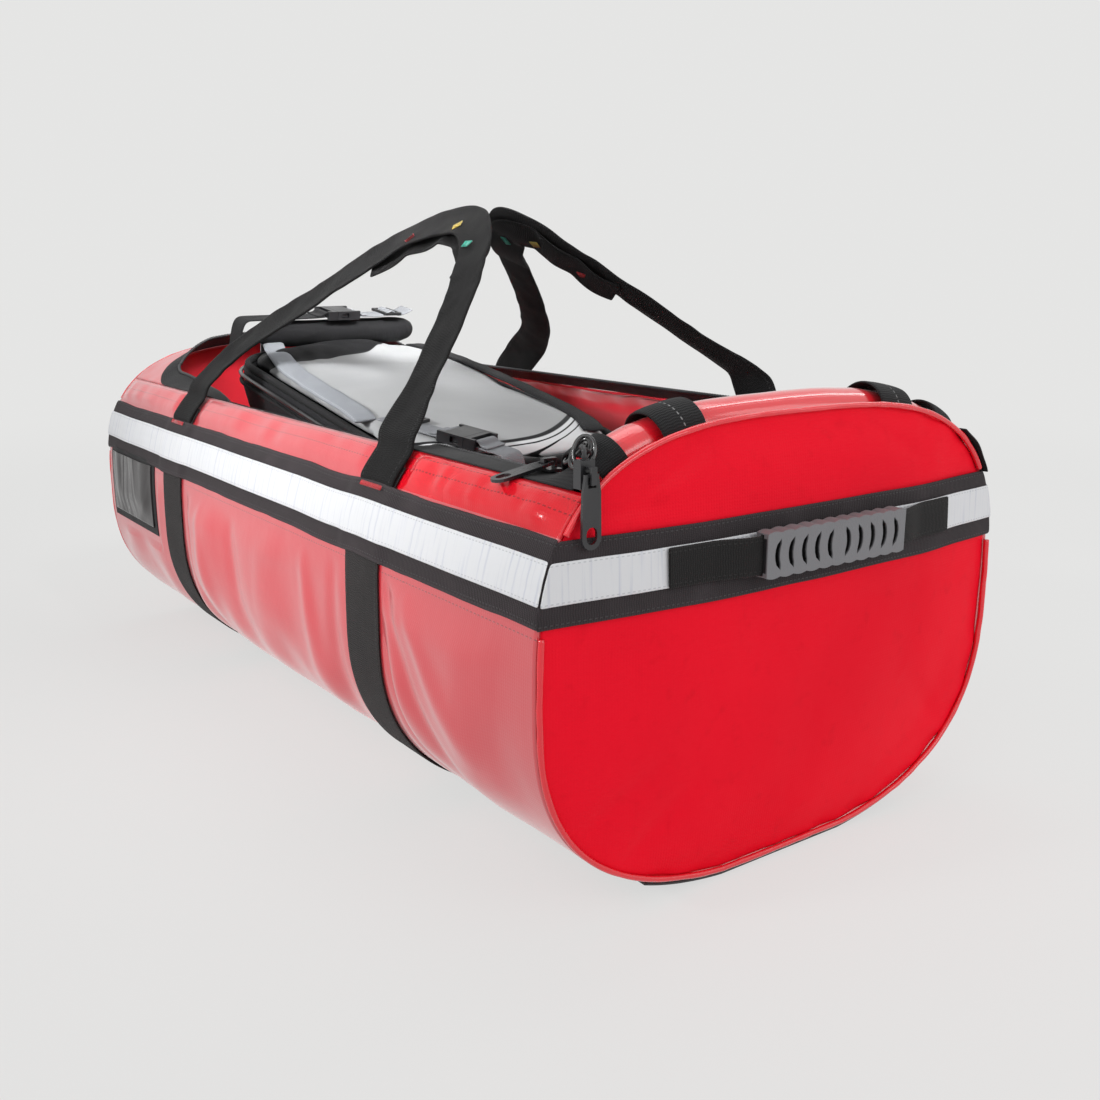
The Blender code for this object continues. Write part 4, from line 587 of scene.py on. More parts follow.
def tube(name, path, radius, look, body, sides, closed=False, replaces=(), slot=None):
    """A round cord along a line of points."""
    path = np.array(path, float)
    count = len(path)
    if closed:
        way = np.roll(path, -1, 0) - np.roll(path, 1, 0)
    else:
        way = np.gradient(path, axis=0)
    way = unit(way)
    normal = np.zeros_like(path)
    current = np.array((0.0, 0.0, 1.0))
    for index in range(count):
        current = current - way[index] * current.dot(way[index])
        if np.linalg.norm(current) < 1e-6:
            current = np.cross(way[index], (1.0, 0.3, 0.2))
        current = current / np.linalg.norm(current)
        normal[index] = current
    binormal = np.cross(way, normal)
    radius = np.broadcast_to(np.asarray(radius, float), (count,))
    angle = np.linspace(0, 2 * math.pi, sides, endpoint=False)
    points = (path[:, None] + normal[:, None] * np.cos(angle)[None, :, None] * radius[:, None, None]
              + binormal[:, None] * np.sin(angle)[None, :, None] * radius[:, None, None])
    along = lengths_of(np.vstack([path, path[:1]]) if closed else path)
    across = np.linspace(0, 2 * math.pi, sides + 1) * radius.mean()
    uv = stack(*grid(along, across))
    return surface(name, points, uv, look, body, replaces, slot, wrap=(closed, True), caps=not closed,
                   flip=True)


def spline(points, steps):
    """A smooth curve through points, with a number of steps between each two."""
    points = [Vector(point) for point in points]
    padded = [2 * points[0] - points[1]] + points + [2 * points[-1] - points[-2]]
    line = []
    for index in range(1, len(padded) - 2):
        before, here, after, beyond = padded[index - 1:index + 3]
        square = 2 * before - 5 * here + 4 * after - beyond
        cube = 3 * here - before - 3 * after + beyond
        for step in range(steps):
            t = step / steps
            line.append(0.5 * (2 * here + (after - before) * t + square * t ** 2 + cube * t ** 3))
    line.append(points[-1])
    return line


# The end outline


class Outline:
    """The end outline by its length from the base's middle; left is negative."""

    def __init__(self):
        angle = np.linspace(-math.pi / 2, math.pi / 2, 6001)
        power = np.where(angle > 0, UPPER_SQUARENESS, LOWER_SQUARENESS)
        reach = np.where(angle > 0, BAG_HEIGHT - WIDEST_HEIGHT, WIDEST_HEIGHT - BASE_STACK + 0.002)
        self.y = BAG_WIDTH / 2 * np.abs(np.cos(angle)) ** (2 / power)
        self.z = WIDEST_HEIGHT + np.sign(angle) * np.abs(np.sin(angle)) ** (2 / power) * reach
        self.z = np.maximum(self.z, BASE_STACK)
        self.y[0] = self.y[-1] = 0.0
        self.s = lengths_of(np.stack([self.y, self.z], 1))
        self.half = self.s[-1]
        even = np.linspace(0, self.half, 1201)
        self.y, self.z, self.s = np.interp(even, self.s, self.y), np.interp(even, self.s, self.z), even
        turn_y, turn_z = np.gradient(self.y), np.gradient(self.z)
        size = np.hypot(turn_y, turn_z)
        self.ny, self.nz = turn_z / size, -turn_y / size

    def at_height(self, height):
        rising = self.y > 0.1
        return float(np.interp(height, self.z[rising], self.s[rising]))

    def at_width(self, width):
        upper = self.s > self.at_height(WIDEST_HEIGHT)
        return np.interp(-np.abs(width), -self.y[upper], self.s[upper])

    def point(self, s, offset=0.0):
        """y and z of places on the outline, moved out by an offset."""
        s = np.asarray(s, float)
        s = np.where(s > self.half, s - 2 * self.half, s)
        side, s = np.where(s < 0, -1.0, 1.0), np.abs(s)
        y, z = np.interp(s, self.s, self.y), np.interp(s, self.s, self.z)
        ny, nz = np.interp(s, self.s, self.ny), np.interp(s, self.s, self.nz)
        return side * (y + offset * ny), z + offset * nz

    def top(self, y):
        return self.point(self.at_width(y))[1]


OUTLINE = Outline()
EDGE = OUTLINE.at_height(EDGE_HEIGHT)
BAND = (OUTLINE.at_height(BAND_BOTTOM), OUTLINE.at_height(BAND_TOP))
STRIPE_S = (OUTLINE.at_height(STRIPE_BOTTOM), OUTLINE.at_height(STRIPE_TOP))


def skin_points(x, s, offset):
    """Points on the body skin, on a grid of x by s."""
    x, s = grid(x, s)
    y, z = OUTLINE.point(s, offset(x, s) if callable(offset) else offset)
    return stack(x, y, z), stack(x, s)


def dome(y, z):
    """How far an end panel stands out at a place on it."""
    upper = z > WIDEST_HEIGHT
    reach = np.where(upper, BAG_HEIGHT - WIDEST_HEIGHT, WIDEST_HEIGHT - BASE_STACK)
    power = np.where(upper, UPPER_SQUARENESS, LOWER_SQUARENESS)
    total = np.abs(y / (BAG_WIDTH / 2)) ** power + np.abs((z - WIDEST_HEIGHT) / reach) ** power
    return END_BULGE * (1 - np.minimum(1.0, total ** (1 / power)) ** 2)


def from_strap(x):
    """How far a place is from the middle of the nearer load strap."""
    return np.abs(np.abs(x) - FOOT_X)


# Bag body


# Each fold: the load strap it starts from (1 near, -1 far), its start and its end (how far from the strap
# and from the band), its width and its height
SIDE_FOLDS = (
    (1, (0.030, -0.004), (0.120, -0.150), 0.010, -0.0050),
    (1, (0.026, -0.030), (0.075, -0.190), 0.008, -0.0040),
    (1, (0.060, -0.010), (0.150, -0.100), 0.009, 0.0028),
    (1, (-0.045, -0.006), (-0.060, -0.170), 0.011, -0.0036),
    (1, (-0.100, -0.010), (-0.080, -0.140), 0.012, 0.0034),
    (-1, (0.036, -0.006), (0.075, -0.160), 0.010, -0.0042),
    (-1, (0.080, -0.010), (0.110, -0.150), 0.012, 0.0030),
    (-1, (0.150, -0.012), (0.170, -0.130), 0.014, -0.0030))
# Each crease of an end panel: start and end as (y, z), width, height
END_CREASES = (
    ((-0.150, 0.262), (-0.085, 0.290), 0.006, -0.0014), ((-0.176, 0.258), (-0.110, 0.262), 0.005, -0.0011),
    ((0.060, 0.293), (0.130, 0.262), 0.006, -0.0010), ((-0.185, 0.060), (-0.110, 0.100), 0.009, -0.0018),
    ((-0.150, 0.030), (-0.080, 0.085), 0.009, -0.0016), ((0.170, 0.055), (0.110, 0.110), 0.009, -0.0015))


def skin_relief(x, s):
    """How far the skin stands out between the straps that hold it, with its folds."""
    away = from_strap(x)
    free = rise(away, 0.024, 0.060) * rise(SHELL_X - np.abs(x), 0.0, 0.050)
    size = np.abs(s)
    lower = rise(size, 0.165, 0.230) * (1 - rise(size, BAND[0] - 0.035, BAND[0] - 0.004))
    left = s < 0
    pocket = left * (x < POCKET[1] + 0.01) * (size > OUTLINE.at_height(POCKET[2]) - 0.012)
    relief = lower * free * (0.0045 + 0.0046 * wobble(x, s * 0.5, 0.062, 3) + 0.0018 * wobble(x, s, 0.036, 5))
    relief = relief * (1 - pocket)
    upper = rise(size, BAND[1] + 0.001, BAND[1] + 0.010) * (1 - rise(size, EDGE - 0.006, EDGE))
    puff = 0.0034 + 0.0022 * wobble(x, s * 0.5, 0.055, 8) + 0.0009 * wobble(x, s, 0.020, 9)
    relief = relief + upper * puff * rise(away, 0.026, 0.040) * rise(SHELL_X - np.abs(x), 0.0, 0.03)
    lip = left * upper * rise(x, 0.235, 0.290) * rise(SHELL_X - x, 0.0, 0.02)
    relief = relief + lip * (0.0009 * wobble(x, s, 0.0085, 13) + 0.0012 * wobble(x, s * 0.5, 0.016, 14))
    for strap, start, end, width, height in SIDE_FOLDS:
        start, end = [(strap * FOOT_X + x_out, BAND[0] - 0.004 + down) for x_out, down in (start, end)]
        relief = relief + fold(x, size, start, end, width, height) * (1 - pocket) * rise(away, 0.024, 0.034)
    inner = (s > 0) * rise(size, BAND[1] + 0.002, BAND[1] + 0.012)
    relief = relief + inner * 0.0012 * wobble(x, s, 0.020, 12) * rise(away, 0.026, 0.040)
    return relief


def make_skin():
    """The body skin; its glossy near left lip has a look of its own, and its inside is the lining, whose red
    is brightened as painted light for the inner walls that lie in shade.

    The thickness takes the look after a face's own one for its inner side, so the lining comes twice.
    """
    points, uv = skin_points(np.linspace(-SHELL_X, SHELL_X, 250), np.linspace(-EDGE, EDGE, 260), skin_relief)
    sewn = [side * value for side in (-1, 1) for value in (BAND[1] + 0.016, BAND[0] - 0.005, EDGE - 0.006)]
    look = red_pvc("red_pvc_side", sewn, specular=0.9, roughness=0.30, coat=0.75, coat_roughness=0.16,
                   veil=0.25, red=SIDE_RED)
    # The lining: the same red PVC with a brightened red, as painted light on the shaded inner walls.
    lining = red_pvc("red_pvc_lining", specular=0.9, roughness=0.26, coat=1.0, coat_roughness=0.10,
                     veil=0.8, crease=2.4, red=BRIGHTENED_LINING_RED)
    skin = surface("side_skin", points, uv, look, "bag", ["side_and_base_skin"], "red_pvc", WALL, -1.0,
                   lining=lining)
    lip = red_pvc("red_pvc_lip", sewn, specular=0.15, roughness=0.22, coat=0.55, coat_roughness=0.05,
                  crease=0.6, red=LIP_RED)
    for shown in (lip, lining):
        skin.data.materials.append(shown)
    above = OUTLINE.point(BAND[1])[1]
    lip_place = 2
    for face in skin.data.polygons:
        if face.center.x > FOOT_X and face.center.y < 0 and face.center.z > above:
            face.material_index = lip_place


def make_end_panels():
    """Both domed panels, in rings from the seam to a small hole in the middle that is filled."""
    lining = bpy.data.materials["red_pvc_lining"]
    look = red_pvc("red_pvc_end", specular=0.05, coat=0.01, roughness=0.42, crease=0.8, red=END_RED)
    rings = np.concatenate([np.linspace(1, 0.70, 40), np.linspace(0.68, 0.03, 46)])
    radius, around = grid(rings, np.linspace(0, 2 * OUTLINE.half, 361)[:-1])
    edge_y, edge_z = OUTLINE.point(around, -(WALL + GAP))
    y = radius * edge_y
    z = WIDEST_HEIGHT + radius * (edge_z - WIDEST_HEIGHT)
    uv = stack(y, z)
    uv = np.concatenate([uv, uv[:, :1]], 1)
    for label, end in ENDS:
        x = SHELL_X + END_BULGE * (1 - radius ** 2) + panel_relief(radius, around, y, z, end)
        piece = surface(label + "_panel", stack(end * x, y, z), uv, look, "bag", [label + "_end_panel"],
                        "red_pvc", WALL, -1.0, wrap=(False, True), flip=end < 0, lining=lining)
        close_hole(piece, *radius.shape)


def panel_relief(radius, around, y, z, end):
    """An end panel's puckers along its seam, and its dents and creases, which the band holds flat."""
    held = rise(np.abs(z - (BAND_BOTTOM + BAND_TOP) / 2), 0.026, 0.050)
    pucker = 0.0011 * wobble(around, radius * 0.1, 0.018, 21) * rise(radius, 0.86, 0.985)
    soft = 0.0022 * wobble(y, z, 0.110, 22 + end) + 0.0010 * wobble(y, z, 0.045, 24)
    soft = soft * (1 - rise(radius, 0.80, 0.98)) * held
    creases = sum(fold(y * end, z, *crease) for crease in END_CREASES)
    return pucker + soft + creases * (1 - rise(radius, 0.94, 0.99))


def close_hole(piece, rows, count):
    """Fills the small middle of a ringed panel, inside its last row."""
    shape = bmesh.new()
    shape.from_mesh(piece.data)
    shape.verts.ensure_lookup_table()
    ring = [shape.verts[(rows - 1) * count + index] for index in range(count)]
    edges = [shape.edges.get((ring[index], ring[(index + 1) % count])) for index in range(count)]
    made = bmesh.ops.holes_fill(shape, edges=edges, sides=count)
    for face in made["faces"]:
        face.smooth = True
    shape.to_mesh(piece.data)
    shape.free()


def far_edge_x(y):
    """Where the opening's far edge is, with its rounded corners."""
    corner = EDGE_Y * FAR_CORNER_SHARE
    share = np.clip((np.abs(y) - (EDGE_Y - corner)) / corner, 0, 1)
    return FAR_EDGE_X + FAR_CORNER_REACH * (1 - np.sqrt(1 - share ** 2))


def make_far_deck():
    first = EDGE + 2 * GAP
    share, s = grid(np.linspace(0, 1, 22), np.linspace(first, 2 * OUTLINE.half - EDGE - 2 * GAP, 150))
    x = -SHELL_X + share * (far_edge_x(OUTLINE.point(s)[0]) - GAP + SHELL_X)
    y, z = OUTLINE.point(s, 0.0010 * wobble(x, s, 0.020, 31) * np.sin(np.pi * share))
    surface("far_deck", stack(x, y, z), stack(x, s), bpy.data.materials["red_pvc_side"], "bag",
            ["far_top_deck"], "red_pvc", WALL, -1.0, lining=bpy.data.materials["red_pvc_lining"])


def make_piping():
    look = red_pvc("red_welt", roughness=0.22, coat=0.6, crease=0.3)
    low, high = BAND[0] - PIPING, BAND[1] + PIPING
    for label, end in ENDS:
        for part, first, last in (("lower", -low, low), ("upper", high, 2 * OUTLINE.half - high)):
            s = np.linspace(first, last, 420)
            y, z = OUTLINE.point(s, -PIPING / 2 + 0.0002)
            x = end * (BAG_LENGTH / 2 - PIPING / 2 + 0.0004 * wobble(s, 0, 0.012, 40))
            radius = PIPING / 2 * (1 + 0.10 * wobble(s, 0, 0.009, 41))
            tube(f"{label}_welt_{part}", stack(x, y, z), radius, look, "bag", 10,
                 replaces=[f"{label}_piping_{part}"], slot="red_pvc")


def band_lift(x):
    """How far the band stands off the skin, with the load straps under it."""
    return 0.0004 + (WEBBING + 0.0004) * (1 - rise(from_strap(x), 0.024, 0.040))


def make_bands():
    """The webbing band and its reflective stripe, each in four lengths."""
    band = webbing("band_webbing", BLACK, WEBBING_WIDTH, (0.0222, -0.0222), (0.075, 0.070, 0.073), edge=0.002)
    stripe = reflective("reflective_tape")
    for label, side in SIDES:
        make_side_band(label, side, "band", BAND, band, "black_webbing", 0.0, WEBBING)
        make_side_band(label, side, "reflective_stripe", STRIPE_S, stripe, "reflective", WEBBING + 0.0002,
                       STRIPE)
    for label, end in ENDS:
        make_end_band(label, end, "band", (BAND_BOTTOM, BAND_TOP), band, "black_webbing", GAP, WEBBING)
        make_end_band(label, end, "reflective_stripe", (STRIPE_BOTTOM, STRIPE_TOP), stripe, "reflective",
                      WEBBING + GAP + 0.0002, STRIPE)


def make_side_band(label, side, piece, ends, look, slot, lift, thick):
    """A length of band or stripe along a side, over the load straps, with a slight drift of its edges."""
    outer = SHELL_X + GAP + WEBBING
    half, centre = (ends[1] - ends[0]) / 2, (ends[1] + ends[0]) / 2
    x, share = grid(np.linspace(-outer, outer, 220), np.linspace(-1, 1, 11))
    drift = 0.0007 * wobble(x, side, 0.060, 50) + 0.0004 * wobble(x, share, 0.022, 51)
    s = centre + share * half + drift * (piece == "band") + 0.0005 * wobble(x, side, 0.060, 50)
    out = band_lift(x) + lift + thick / 2 + 0.00025 * wobble(x, share, 0.030, 52)
    y, z = OUTLINE.point(side * s, out)
    tape(f"{label}_{piece}_cloth", stack(x, y, z), stack(x, share * half), look, "bag", [f"{label}_{piece}"],
         slot, thick, side < 0)


def make_end_band(label, end, piece, heights, look, slot, lift, thick):
    """A length of band or stripe across an end panel."""
    share, z = grid(np.linspace(-1, 1, 141), np.linspace(*heights, 9))
    edge_y, _ = OUTLINE.point(OUTLINE.s[np.searchsorted(OUTLINE.z, z)], band_lift(0.4) + WEBBING)
    y = share * edge_y
    lip = 0.0006 * wobble(y, z, 0.030, 55) * (1 - share ** 8)
    x = end * (SHELL_X + dome(y, z) + lift + thick / 2 + lip + 0.0003)
    points = stack(x, y, z + 0.0006 * wobble(y, end, 0.050, 56))
    tape(f"{label}_{piece}_cloth", points, stack(y, z - sum(heights) / 2), look, "bag", [f"{label}_{piece}"],
         slot, thick, end > 0)


def make_load_straps():
    """The two straps under the base, which come out above the band on both sides."""
    look = webbing("strap_webbing", (0.034, 0.031, 0.031), WEBBING_WIDTH, (0.0218, -0.0218), edge=0.002)
    top = BAND[1] + 0.016
    for label, end in ENDS:
        middle = end * FOOT_X
        s, share = grid(np.linspace(-top, top, 300), np.linspace(-1, 1, 11))
        x = middle + share * WEBBING_WIDTH / 2 + 0.0009 * wobble(s, middle, 0.055, 60)
        x = x + 0.0005 * wobble(s, share, 0.02, 61)
        y, z = OUTLINE.point(s, GAP + WEBBING / 2 + 0.0002 * (1 + wobble(s, share, 0.03, 62)))
        tape(label + "_load_webbing", stack(x, y, z), stack(s, share * WEBBING_WIDTH / 2), look, "bag",
             [label + "_load_strap"], "black_webbing", WEBBING, True)


def make_base():
    look = moulded("base_sheet", (0.022, 0.022, 0.023), 0.42, 0.0006, scale=500.0)
    s = np.linspace(-0.125, 0.125, 60)
    points, uv = skin_points(np.linspace(-SHELL_X, SHELL_X, 60), s, WEBBING + 2 * GAP + 0.0013)
    surface("base_sheet", points, uv, look, "bag", ["base_panel"], "black_pvc", BASE_SHEET, -1.0)
    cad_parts["base_board"].data.materials[0] = moulded("board_plastic", (0.06, 0.06, 0.06), 0.6)


def make_pocket():
    """A flat pocket whose clear window shows the dark card behind it."""
    back = webbing("pocket_binding", (0.020, 0.020, 0.021), pitch=0.0014, sheen=0.1)
    look = Look("pocket_window", Specular_IOR_Level=0.2, Coat_Weight=0.12, Coat_Roughness=0.10)
    ripples = look.noise(16.0, 3.0, stretch=(1.0, 1.0, 0.5), distortion=0.8)
    glare = look.span(look.noise(22.0, 2.0, stretch=(2.2, 1.0, 0.7)), 0.58, 0.80, 0.0, 0.16)
    colour = look.mix(glare, (0.022, 0.018, 0.019), (0.30, 0.22, 0.22))
    look.finish(colour, 0.20, look.bump(ripples, 0.012, 0.40))
    top, bottom = BAND[0] + 0.004, OUTLINE.at_height(POCKET[2])
    for name, inset, lift, thick, slot, shown in (
            ("pocket_back", 0.0, 0.0004, 0.0012, "black_pvc", back),
            ("pocket_window", 0.008, 0.0019, 0.0008, "clear_window", look.made)):
        left, right = POCKET[0] + inset, POCKET[1] - inset
        x, s = grid(np.linspace(left, right, 60), np.linspace(-top + inset * 0.6, -bottom - inset, 50))
        inside = rise(x, left, left + 0.03) * rise(-x, -right, -right + 0.03)
        inside = inside * rise(-s, bottom + inset, bottom + 0.035)
        belly = 0.0022 * inside * (1 + 0.5 * wobble(x, s, 0.04, 70))
        y, z = OUTLINE.point(s, lift + belly)
        surface(name, stack(x, y, z), stack(x, s), shown, "bag", ["id_" + name], slot, thick, 1.0, flip=True)


# Zip


def edge_line():
    """The opening's edge from the near left corner round the far end to the near right."""
    corner = EDGE_Y * FAR_CORNER_SHARE
    corner_x = FAR_EDGE_X + FAR_CORNER_REACH
    points = [(x, -EDGE_Y) for x in np.linspace(NEAR_EDGE_X, corner_x, 170)[:-1]]
    for angle in np.linspace(0, math.pi / 2, 26)[:-1]:
        points.append((FAR_EDGE_X + FAR_CORNER_REACH * (1 - math.sin(angle)),
                       -(EDGE_Y - corner) - corner * math.cos(angle)))
    points += [(FAR_EDGE_X, y) for y in np.linspace(corner - EDGE_Y, 0.0, 30)]
    return np.array(points + [(x, -y) for x, y in reversed(points[:-1])])


def tape_lean(x, y):
    """Which way the tape points: leaning in all round, and folded right over along the left side."""
    corner_x = FAR_EDGE_X + FAR_CORNER_REACH
    tilt = 60.0 - 12.0 * rise(x, 0.330, 0.385)
    left = (y < 0) * rise(x, corner_x - 0.010, corner_x + 0.100)
    flat = 90.0 + 48.0 * rise(x, corner_x + 0.080, corner_x + 0.180) * (1 - rise(x, 0.150, 0.212))
    tilt = tilt * (1 - left) + flat * left
    corner = (y < 0) * rise(x, 0.352, 0.396)
    tilt = np.radians(tilt * (1 - corner) + 38.0 * corner)
    round_end = (x < corner_x) & (np.abs(y) < EDGE_Y * 0.95)
    turn = np.radians(90.0) * np.clip(1 - np.abs(y) / EDGE_Y, 0, FAR_CORNER_SHARE) / FAR_CORNER_SHARE
    turn = turn * round_end
    inward_y = np.where(y > 0, -1.0, 1.0) * np.cos(turn)
    return stack(np.sin(turn) * np.sin(tilt), inward_y * np.sin(tilt), np.cos(tilt))


def make_zip():
    """The tape round the opening, waving where no slider runs on it."""
    line = edge_line()
    x, y = line[:, 0], line[:, 1]
    lean = tape_lean(x, y)
    base = stack(x, y, OUTLINE.top(y))
    across = np.linspace(-0.0006, 0.0226, 12)
    side = unit(np.cross(np.gradient(base, axis=0), lean))
    grid_u, grid_v = grid(lengths_of(base), across)
    wave = 0.0006 * wobble(grid_u, grid_v, 0.030, 80) + 0.0014 * wobble(grid_u, 0, 0.070, 81)
    travel = (y < 0) * rise(x, 0.190, 0.215) * (1 - rise(x, 0.352, 0.375))
    wave = wave * grid_v / TAPE_WIDTH * (1 - travel)[:, None]
    points = base[:, None] + lean[:, None] * across[None, :, None] + side[:, None] * wave[..., None]
    look = zip_tape_look("zip_tape")
    tape("zip_tape_cloth", points, stack(grid_u, grid_v), look, "bag", ["zip_tape"], "black_tape", 0.0014)
    make_teeth(base + lean * (0.0006 + 0.0008 + TAPE_WIDTH + 0.0021))
    make_corner_tape(look)
    make_pull_rings()


def make_teeth(rim):
    """The coil along the tape's rim, with its turn down to slider A at the near left."""
    turn = [(0.4120, -0.1760, 0.2765), (0.4120, -0.1760, 0.2940), (0.4116, -0.1759, 0.2966),
            (0.4092, -0.1748, 0.2984), (0.4040, -0.1722, 0.2978)]
    path = np.vstack([spline(turn, 8)[:-1], rim])
    total = lengths_of(path)
    even = np.arange(0, total[-1], 0.0011)
    radius = 0.0015 * (1 + 0.16 * np.sin(even / 0.0033 * 2 * math.pi))
    look = moulded("coil_plastic", (0.022, 0.022, 0.024), 0.35)
    tube("zip_teeth", resampled(path, total, even), radius, look, "bag", 7, replaces=["zip_coil"],
         slot="black_tape")


def make_pull_rings():
    """Linked wire rings that lie on the tape behind the near slider."""
    look = moulded("ring_wire", (0.008, 0.008, 0.009), 0.14, 0.0001, specular=0.9, lighter_tone=1.6)
    turn = np.linspace(0, 2 * math.pi, 49)[:-1]
    for index, (centre, normal, radius, stretch) in enumerate((
            ((0.4020, -0.1685, 0.2945), (0.55, -0.70, 0.40), 0.0062, 1.5),
            ((0.3950, -0.1660, 0.2925), (0.20, -0.75, 0.60), 0.0056, 1.7),
            ((0.3865, -0.1630, 0.2915), (-0.35, -0.60, 0.72), 0.0060, 1.4))):
        plane = Vector(normal).to_track_quat("Z", "Y").to_matrix()
        ring = [Vector(centre) + plane @ Vector((radius * math.cos(a), radius * stretch * math.sin(a), 0))
                for a in turn]
        tube(f"pull_ring_{index + 1}", ring, 0.0013, look, "bag", 10, True, slot="zip_metal")


def make_corner_tape(look):
    """The zip tape's right end, folded over the corner and sewn down to the band."""
    s, across = grid(np.linspace(BAND[1] - 0.002, EDGE + 0.012, 60),
                     np.linspace(SHELL_X - 0.014, BAG_LENGTH / 2 + 0.0016, 12))
    over = rise(across, SHELL_X - 0.006, SHELL_X)
    y, z = OUTLINE.point(s, 0.0012 + 0.0012 * over + 0.0005 * wobble(s, across, 0.012, 84))
    x = across + 0.0012 * wobble(s, 0, 0.016, 85)
    tape("corner_tape_cloth", stack(x, y, z), stack(s, across), look, "bag", (), "black_tape", 0.0013)


# Lid roll


def roll_frame(y):
    """The sagging roll's middle height, and the direction across it, at a distance from its middle."""
    share = np.abs(y) / ROLL_END
    height = ROLL_HEIGHT - ROLL_DROP * share ** 3.2
    slope = np.sign(y) * ROLL_DROP * 3.2 / ROLL_END * share ** 2.2
    size = np.hypot(slope, 1)
    return height, slope / size, 1 / size


def roll_points(y, angle, radius):
    height, out_y, out_z = roll_frame(y)
    x = ROLL_X + radius * np.cos(angle)
    return stack(x, y + out_y * radius * np.sin(angle), height + out_z * radius * np.sin(angle))


def make_lid():
    """The lid's spiral, softer between the tapes that hold it."""
    look = red_pvc("red_pvc_lid", roughness=0.20, coat=1.0, coat_roughness=0.08, crease=0.7, veil=0.1)
    y, turns = grid(np.linspace(-ROLL_END, ROLL_END, 130), np.linspace(0, 3.0, 150))
    wraps = 1 - rise(np.abs(np.abs(y) - 0.096), 0.014, 0.026)
    soft = 0.0007 * wobble(y, turns * 0.05, 0.025, 90) * (1 - wraps) * np.exp(-turns)
    puff = 0.0012 * (1 - wraps) * np.exp(-turns)
    radius = ROLL_RADIUS - 0.0009 - 0.0042 * turns + soft + puff
    angle = -2 * math.pi * turns + math.radians(20)
    surface("lid_roll_cloth", roll_points(y, angle, radius), stack(y, -turns * 0.09), look, "bag",
            ["rolled_lid"], "red_pvc", 0.0018, flip=True)
    plain = webbing("wrap_tape", (0.016, 0.016, 0.017), pitch=0.0014)
    sewn = webbing("wrap_band", (0.020, 0.020, 0.021), 0.032, (0.0,), (0.30, 0.30, 0.30))
    for label, side in SIDES:
        make_wrap(f"{label}_lid_zip_tape", side, 0.138, 0.1568, plain)
        make_wrap(f"{label}_lid_band", side, 0.080, 0.112, sewn)


def make_wrap(node, side, first, last, look):
    """Tape round the roll, between two distances from the middle."""
    angle, y = grid(np.radians(np.linspace(-80, 260, 70)), np.linspace(first, last, 16))
    middle = (first + last) / 2
    bulge = 0.0006 * (1 - ((y - middle) / (last - first) * 2) ** 4)
    radius = ROLL_RADIUS + 0.0006 + 0.0008 + bulge + 0.0003 * wobble(angle * 0.02, y, 0.010, 92)
    tape(node + "_cloth", roll_points(side * y, angle, radius), stack(angle * ROLL_RADIUS, y - middle), look,
         "bag", [node], "black_tape", 0.0016, side > 0)


# Handles


STANDOFF = WEBBING + 2 * GAP + 0.0013


def handle_profile(side):
    """The line that a handle climbs, seen from the end, by its length from the foot."""
    foot = BAND[1] + 0.0065
    s = np.concatenate([np.linspace(foot - 0.015, foot, 4)[:-1], np.linspace(foot, EDGE, 10)[:-1]])
    y, z = OUTLINE.point(s, STANDOFF)
    reach = EDGE_Y + STANDOFF + 2 * GAP
    bottom = EDGE_HEIGHT + 2 * GAP
    climb = 0.0009 + 0.0006 + TAPE_WIDTH + 0.0018 + 0.006 if side > 0 else 2 * STANDOFF
    line = np.array([*zip(y, z), (reach, bottom), (reach, bottom + climb), (0.004, 0.4455)])
    way = line[-1] - line[-2]
    line[-1] = line[-2] + way * 1.4
    total = lengths_of(line)
    total -= total[3]
    even = np.arange(total[0], total[-1], 0.002)
    rows = resampled(line, total, even)
    for _ in range(6):
        rows[1:-1] = (rows[:-2] + 2 * rows[1:-1] + rows[2:]) / 4
    return even, rows


PROFILES = {side: handle_profile(side) for side in (-1, 1)}


def handle_points(x, climb, side, offset):
    """Points that stand off a handle's middle, from how far along the bag and up the handle they are."""
    even, rows = PROFILES[side]
    y, z = np.interp(climb, even, rows[:, 0]), np.interp(climb, even, rows[:, 1])
    way_y = np.interp(climb, even, np.gradient(rows[:, 0]))
    way_z = np.interp(climb, even, np.gradient(rows[:, 1]))
    size = np.hypot(way_y, way_z)
    return stack(x, side * (y + offset * way_z / size), z - offset * way_y / size)


# Where the straps run, as (x, climb) points
LEFT_ROUTE = [
    (0.200, -0.0125), (0.200, 0.002), (0.200, 0.0135), (0.197, 0.030), (0.188, 0.052), (0.175, 0.082),
    (0.157, 0.118), (0.137, 0.154), (0.112, 0.190), (0.084, 0.224), (0.048, 0.247), (0.004, 0.247),
    (-0.045, 0.227), (-0.084, 0.190), (-0.119, 0.152), (-0.157, 0.114), (-0.184, 0.078), (-0.196, 0.045),
    (-0.199, 0.028), (-0.200, 0.0135), (-0.200, 0.002), (-0.200, -0.0125)]
RIGHT_ROUTE = [
    (0.200, -0.0125), (0.200, 0.002), (0.200, 0.0135), (0.196, 0.032), (0.182, 0.055), (0.160, 0.086),
    (0.139, 0.122), (0.118, 0.160), (0.096, 0.196), (0.074, 0.232), (0.046, 0.254), (0.014, 0.238),
    (-0.008, 0.209), (-0.026, 0.178), (-0.048, 0.145), (-0.073, 0.114), (-0.106, 0.085), (-0.146, 0.059),
    (-0.179, 0.037), (-0.195, 0.024), (-0.200, 0.0135), (-0.200, 0.002), (-0.200, -0.0125)]
LEFT_LOOPS = [
    (0.098, 0.196), (0.078, 0.219), (0.044, 0.240), (0.006, 0.240), (-0.040, 0.221), (-0.066, 0.197)]
RIGHT_LOOPS = [
    (0.109, 0.164), (0.091, 0.192), (0.069, 0.227), (0.044, 0.246), (0.018, 0.232), (-0.002, 0.206)]
THREADS = {"red": (0.70, 0.02, 0.03), "yellow": (0.75, 0.55, 0.10), "green": (0.02, 0.42, 0.30)}



